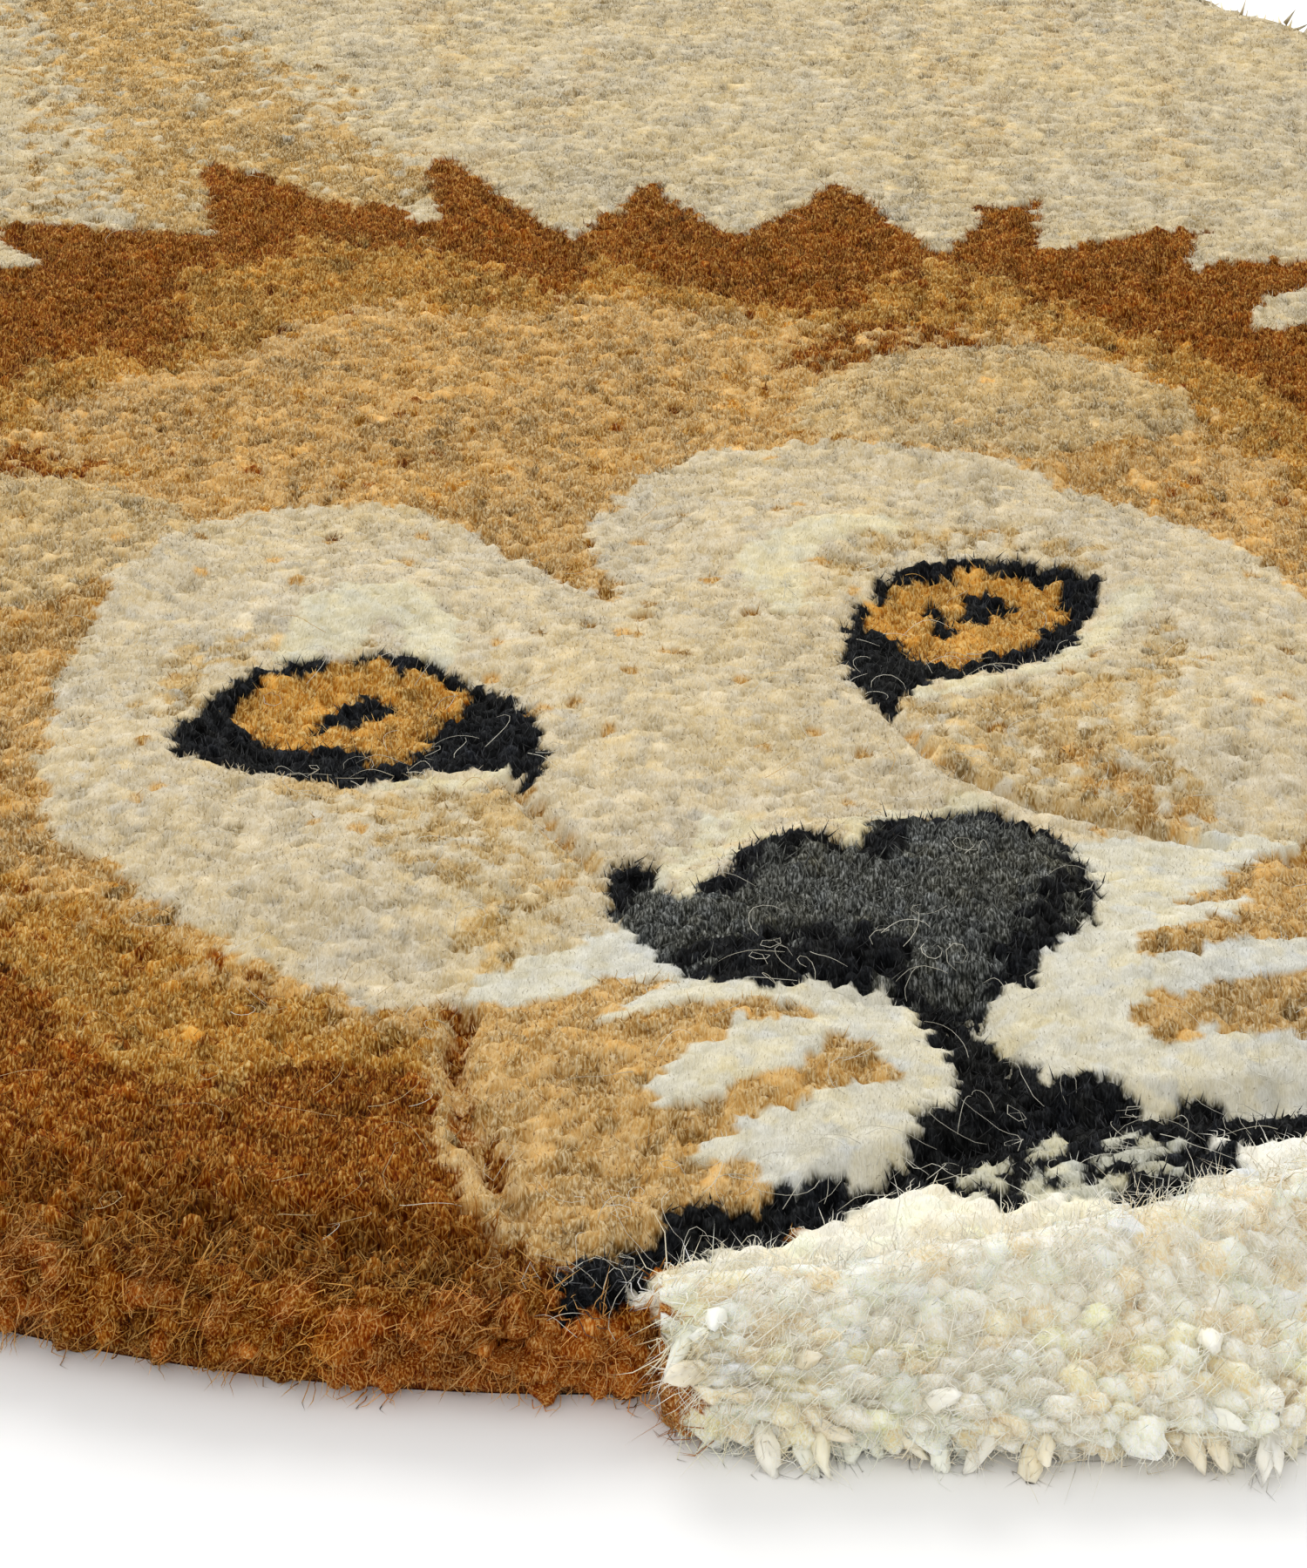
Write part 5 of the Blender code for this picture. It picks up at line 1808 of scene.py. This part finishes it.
HAIR_PATCHES: Sequence[HairPatch] = (
    HairPatch((0, -60), (120, 125), 150, Yarn.WHITE), HairPatch((0, -180), (80, 12), 76, Yarn.WHITE),
    HairPatch((-16, -128), (22, 7), 16, Yarn.WHITE), HairPatch((-62, -28), (26, 6), 14, Yarn.WHITE),
    HairPatch((52, -27), (26, 8), 14, Yarn.WHITE), HairPatch((-82, -194), (10, 7), 14, Yarn.WHITE),
    HairPatch((82, -194), (10, 7), 12, Yarn.WHITE), HairPatch((0, 70), (230, 170), 70, Yarn.AMBER),
    HairPatch((-155, -135), (75, 55), 60, Yarn.EAR), HairPatch((155, -135), (75, 55), 24, Yarn.EAR),
    HairPatch((0, 420), (200, 180), 60, Yarn.CREAM))


@dataclass
class LooseHairs:
    """Single long hairs that have worked loose and lie curled on the pile."""

    surface: PileSurface
    wool: Material
    segments: int = 7
    width: float = 0.00014
    length: tuple[float, float] = (0.005, 0.016)
    curl: float = 340.0
    lift: float = 0.0035
    clearance: float = 0.0003
    seed: int = 91

    def path(self, chance: Chance, start: Array) -> Array:
        """A curling line from its start, as rows of x, y and the height above the pile."""
        heading = chance.uniform(0.0, 2.0 * math.pi)
        step = chance.uniform(*self.length) / self.segments
        bend = chance.normal(0.0, self.curl)
        points = [start]
        for _ in range(self.segments):
            bend += chance.normal(0.0, 0.35 * self.curl)
            heading += bend * step
            points.append(points[-1] + step * np.array((math.cos(heading), math.sin(heading))))
        share = np.linspace(0.0, 1.0, len(points))
        lift = chance.uniform(0.0, self.lift) * np.sin(math.pi * share * chance.uniform(0.6, 1.1))
        return np.column_stack([np.array(points), self.clearance + lift])

    def tube(self, line: Array) -> Array:
        """The corners of a thin tube of three sides along a line."""
        around = np.arange(3) * 2.0 * math.pi / 3.0
        run = np.gradient(line, axis=0)
        run /= np.linalg.norm(run, axis=1)[:, None]
        side = np.cross(run, (0.0, 0.0, 1.0))
        side /= np.linalg.norm(side, axis=1)[:, None]
        over = np.cross(side, run)
        half = 0.5 * self.width * (1.0 - 0.5 * np.linspace(0.0, 1.0, len(line)))
        aside = side[:, None, :] * np.cos(around)[None, :, None]
        above = over[:, None, :] * np.sin(around)[None, :, None]
        return (line[:, None, :] + (aside + above) * half[:, None, None]).reshape(-1, 3)

    def build(self) -> Object:
        """All the hairs, each a thin closed tube."""
        chance = seeded(self.seed)
        lines, yarns = [], []
        for patch in HAIR_PATCHES:
            for _ in range(patch.count):
                start = (np.array(patch.middle) + chance.uniform(-1.0, 1.0, 2) * patch.half_size) * MM
                lines.append(self.path(chance, start))
                yarns.append(patch.yarn.linear() * chance.uniform(0.75, 1.1))
        flat = np.vstack(lines)
        inside = (self.surface.shape.depth_inside(flat[:, :2]) > 0.0).reshape(len(lines), -1).all(axis=1)
        flat[:, 2] += self.surface.top(flat[:, :2])
        corners, faces, colours = [], [], []
        for line, yarn, kept in zip(flat.reshape(len(lines), -1, 3), yarns, inside):
            if not kept:
                continue
            tube = self.tube(line)
            faces += [tuple(len(corners) + corner for corner in face)
                      for face in outward(tube, grid_faces(len(line), 3))]
            corners += list(tube)
            colours += [[*yarn, 1.0]] * len(tube)
        corners = np.array(corners)
        mesh = mesh_from("loose_hairs", self.surface.shape.placed(corners), faces,
                         {"yarn": np.array(colours), "reach": np.ones(len(corners)), "strand": corners})
        piece = dressed("loose_hairs", mesh, self.wool)
        finish_piece(piece)
        return piece


# ---- the studio ----

@dataclass
class Studio:
    """The pale floor, the soft light and the camera."""

    head_y: float
    floor_size: float = 14.0
    camera_place: tuple[float, float, float] = (-0.2285, -0.6117, 0.332)
    camera_direction: tuple[float, float, float] = (0.3066, 0.8311, -0.4641)
    lens: float = 84.0
    sky_strength: float = 0.82
    # name, place, aim, width and power of each light
    lights: Sequence[tuple[str, tuple[float, float, float], tuple[float, float, float], float, float]] = (
        ("key", (0.3, 2.6, 1.75), (0.0, 0.0, 0.0), 1.4, 66.0),
        ("fill", (-1.4, -1.8, 1.6), (0.0, 0.0, 0.0), 1.8, 14.0))

    def add_floor(self) -> None:
        """The floor, which isn't part of the rug."""
        half = self.floor_size / 2.0
        corners = np.array([(-half, -half, 0), (half, -half, 0), (half, half, 0), (-half, half, 0)])
        mesh = mesh_from("floor", corners, [(0, 1, 2, 3)])
        mesh.materials.append(FloorFinish().material())
        add_object("floor", mesh)

    def add_light(self, name: str, place: tuple[float, float, float], aim: tuple[float, float, float],
                  width: float, power: float) -> None:
        """A square soft light."""
        data = bpy.data.lights.new(name, "AREA")
        data.size, data.energy = width, power
        obj = bpy.data.objects.new(name, data)
        shift = Vector((0.0, self.head_y, 0.0))
        obj.location = Vector(place) + shift
        obj.rotation_euler = (Vector(aim) - Vector(place)).to_track_quat("-Z", "Y").to_euler()
        bpy.context.scene.collection.objects.link(obj)

    def add_sky(self) -> None:
        """Even light from all round."""
        world = bpy.data.worlds.new("soft sky")
        world.use_nodes = True
        background = world.node_tree.nodes["Background"]
        background.inputs["Color"].default_value = (1.0, 1.0, 1.0, 1.0)
        background.inputs["Strength"].default_value = self.sky_strength
        bpy.context.scene.world = world

    def add_camera(self) -> None:
        """The camera, at the photograph's viewing angle."""
        data = bpy.data.cameras.new("camera")
        data.lens, data.sensor_width, data.sensor_fit = self.lens, 36.0, "AUTO"
        data.clip_start, data.clip_end = 0.01, 60.0
        camera = bpy.data.objects.new("camera", data)
        camera.location = Vector(self.camera_place) + Vector((0.0, self.head_y, 0.0))
        camera.rotation_euler = Vector(self.camera_direction).to_track_quat("-Z", "Y").to_euler()
        bpy.context.scene.collection.objects.link(camera)
        bpy.context.scene.camera = camera

    def build(self) -> None:
        """Everything round the rug."""
        self.add_floor()
        for light in self.lights:
            self.add_light(*light)
        self.add_sky()
        self.add_camera()
        bpy.context.scene.view_settings.view_transform = "Standard"


def main() -> None:
    """Builds the rug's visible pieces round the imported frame, and the studio."""
    logging.basicConfig(level=logging.INFO, format="%(name)s: %(message)s")
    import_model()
    shape, drawing = PeltShape(), Drawing()
    low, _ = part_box("rug_pile")
    shape.head_y = low.y - (shape.mane_centre - shape.mane_radius)
    pile_wool = WoolFinish("pile wool").material()
    faint = ((0.0, 0.1), (0.3, 0.2), (0.6, 0.1))
    pile_fibre = WoolFinish("pile fibres", bump=0.0, grain_and_glint=faint, sheen=0.03).material()
    chin_wool = WoolFinish("chin wool", root_shading_power=1.0, pale_root_shading_power=1.15, tip_shading_power=0.70,
                           grain_and_glint=((0.0, 0.7), (0.3, 0.8), (0.6, 0.6)), glow=0.7).material()
    lock_wool = WoolFinish("lock wool", root_shading_power=1.0, pale_root_shading_power=1.3, tip_shading_power=0.7, grain_and_glint=faint,
                           bump=0.0, glow=0.35).material()
    chin_fibre = WoolFinish("chin fibres", root_shading_power=1.0, pale_root_shading_power=0.80, tip_shading_power=0.85, bump=0.0,
                            grain_and_glint=faint, sheen=0.12).material()
    Studio(shape.head_y).build()
    surface = PileSurface(shape, PilePlan(shape, drawing))
    PileBed(surface, pile_wool).build()
    CloseSlab("head_tufts", surface, pile_wool, (-0.030, 0.030), True, 0.00129).build()
    CloseSlab("neck_tufts", surface, pile_wool, (0.170, 0.420), False, 0.0016).build()
    planter = Planter(shape)
    PileFields(surface, planter, pile_fibre, chin_fibre).build()
    rim = Roll("rim_roll", "pile_wool", shape, drawing, pile_wool, RIM_KEYS)
    rim.build()
    rim.fuzz(planter, "mane_rim_fuzz", pile_fibre, RIM_FUZZ, 0.0034, (16.0, 46.0))
    rim.fuzz(planter, "plain_rim_fuzz", pile_fibre, PLAIN_FUZZ, 0.0066, (46.0, 180.0))
    chin = ChinRoll("chin_roll", "chin_wool", shape, drawing, chin_wool, CHIN_KEYS, turns=(0.0, 17.7),
                    fine_turns=(0.0, 17.7), fine_spacing=0.00075, columns=80, tuft=(0.0044, 0.0054),
                    relief=0.0025, uneven=0.0009, rough=0.0006, seed=71)
    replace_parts(chin.build(), "chin_shag")
    chin.fuzz(planter, "chin_fuzz", chin_fibre, CHIN_FUZZ, 0.0029, (0.0, 17.5), droop=0.8, shine=(0.86, 1.1))
    chin.locks(planter, LOCK, lock_wool)
    LooseHairs(surface, pile_fibre).build()


if __name__ == "__main__":
    main()
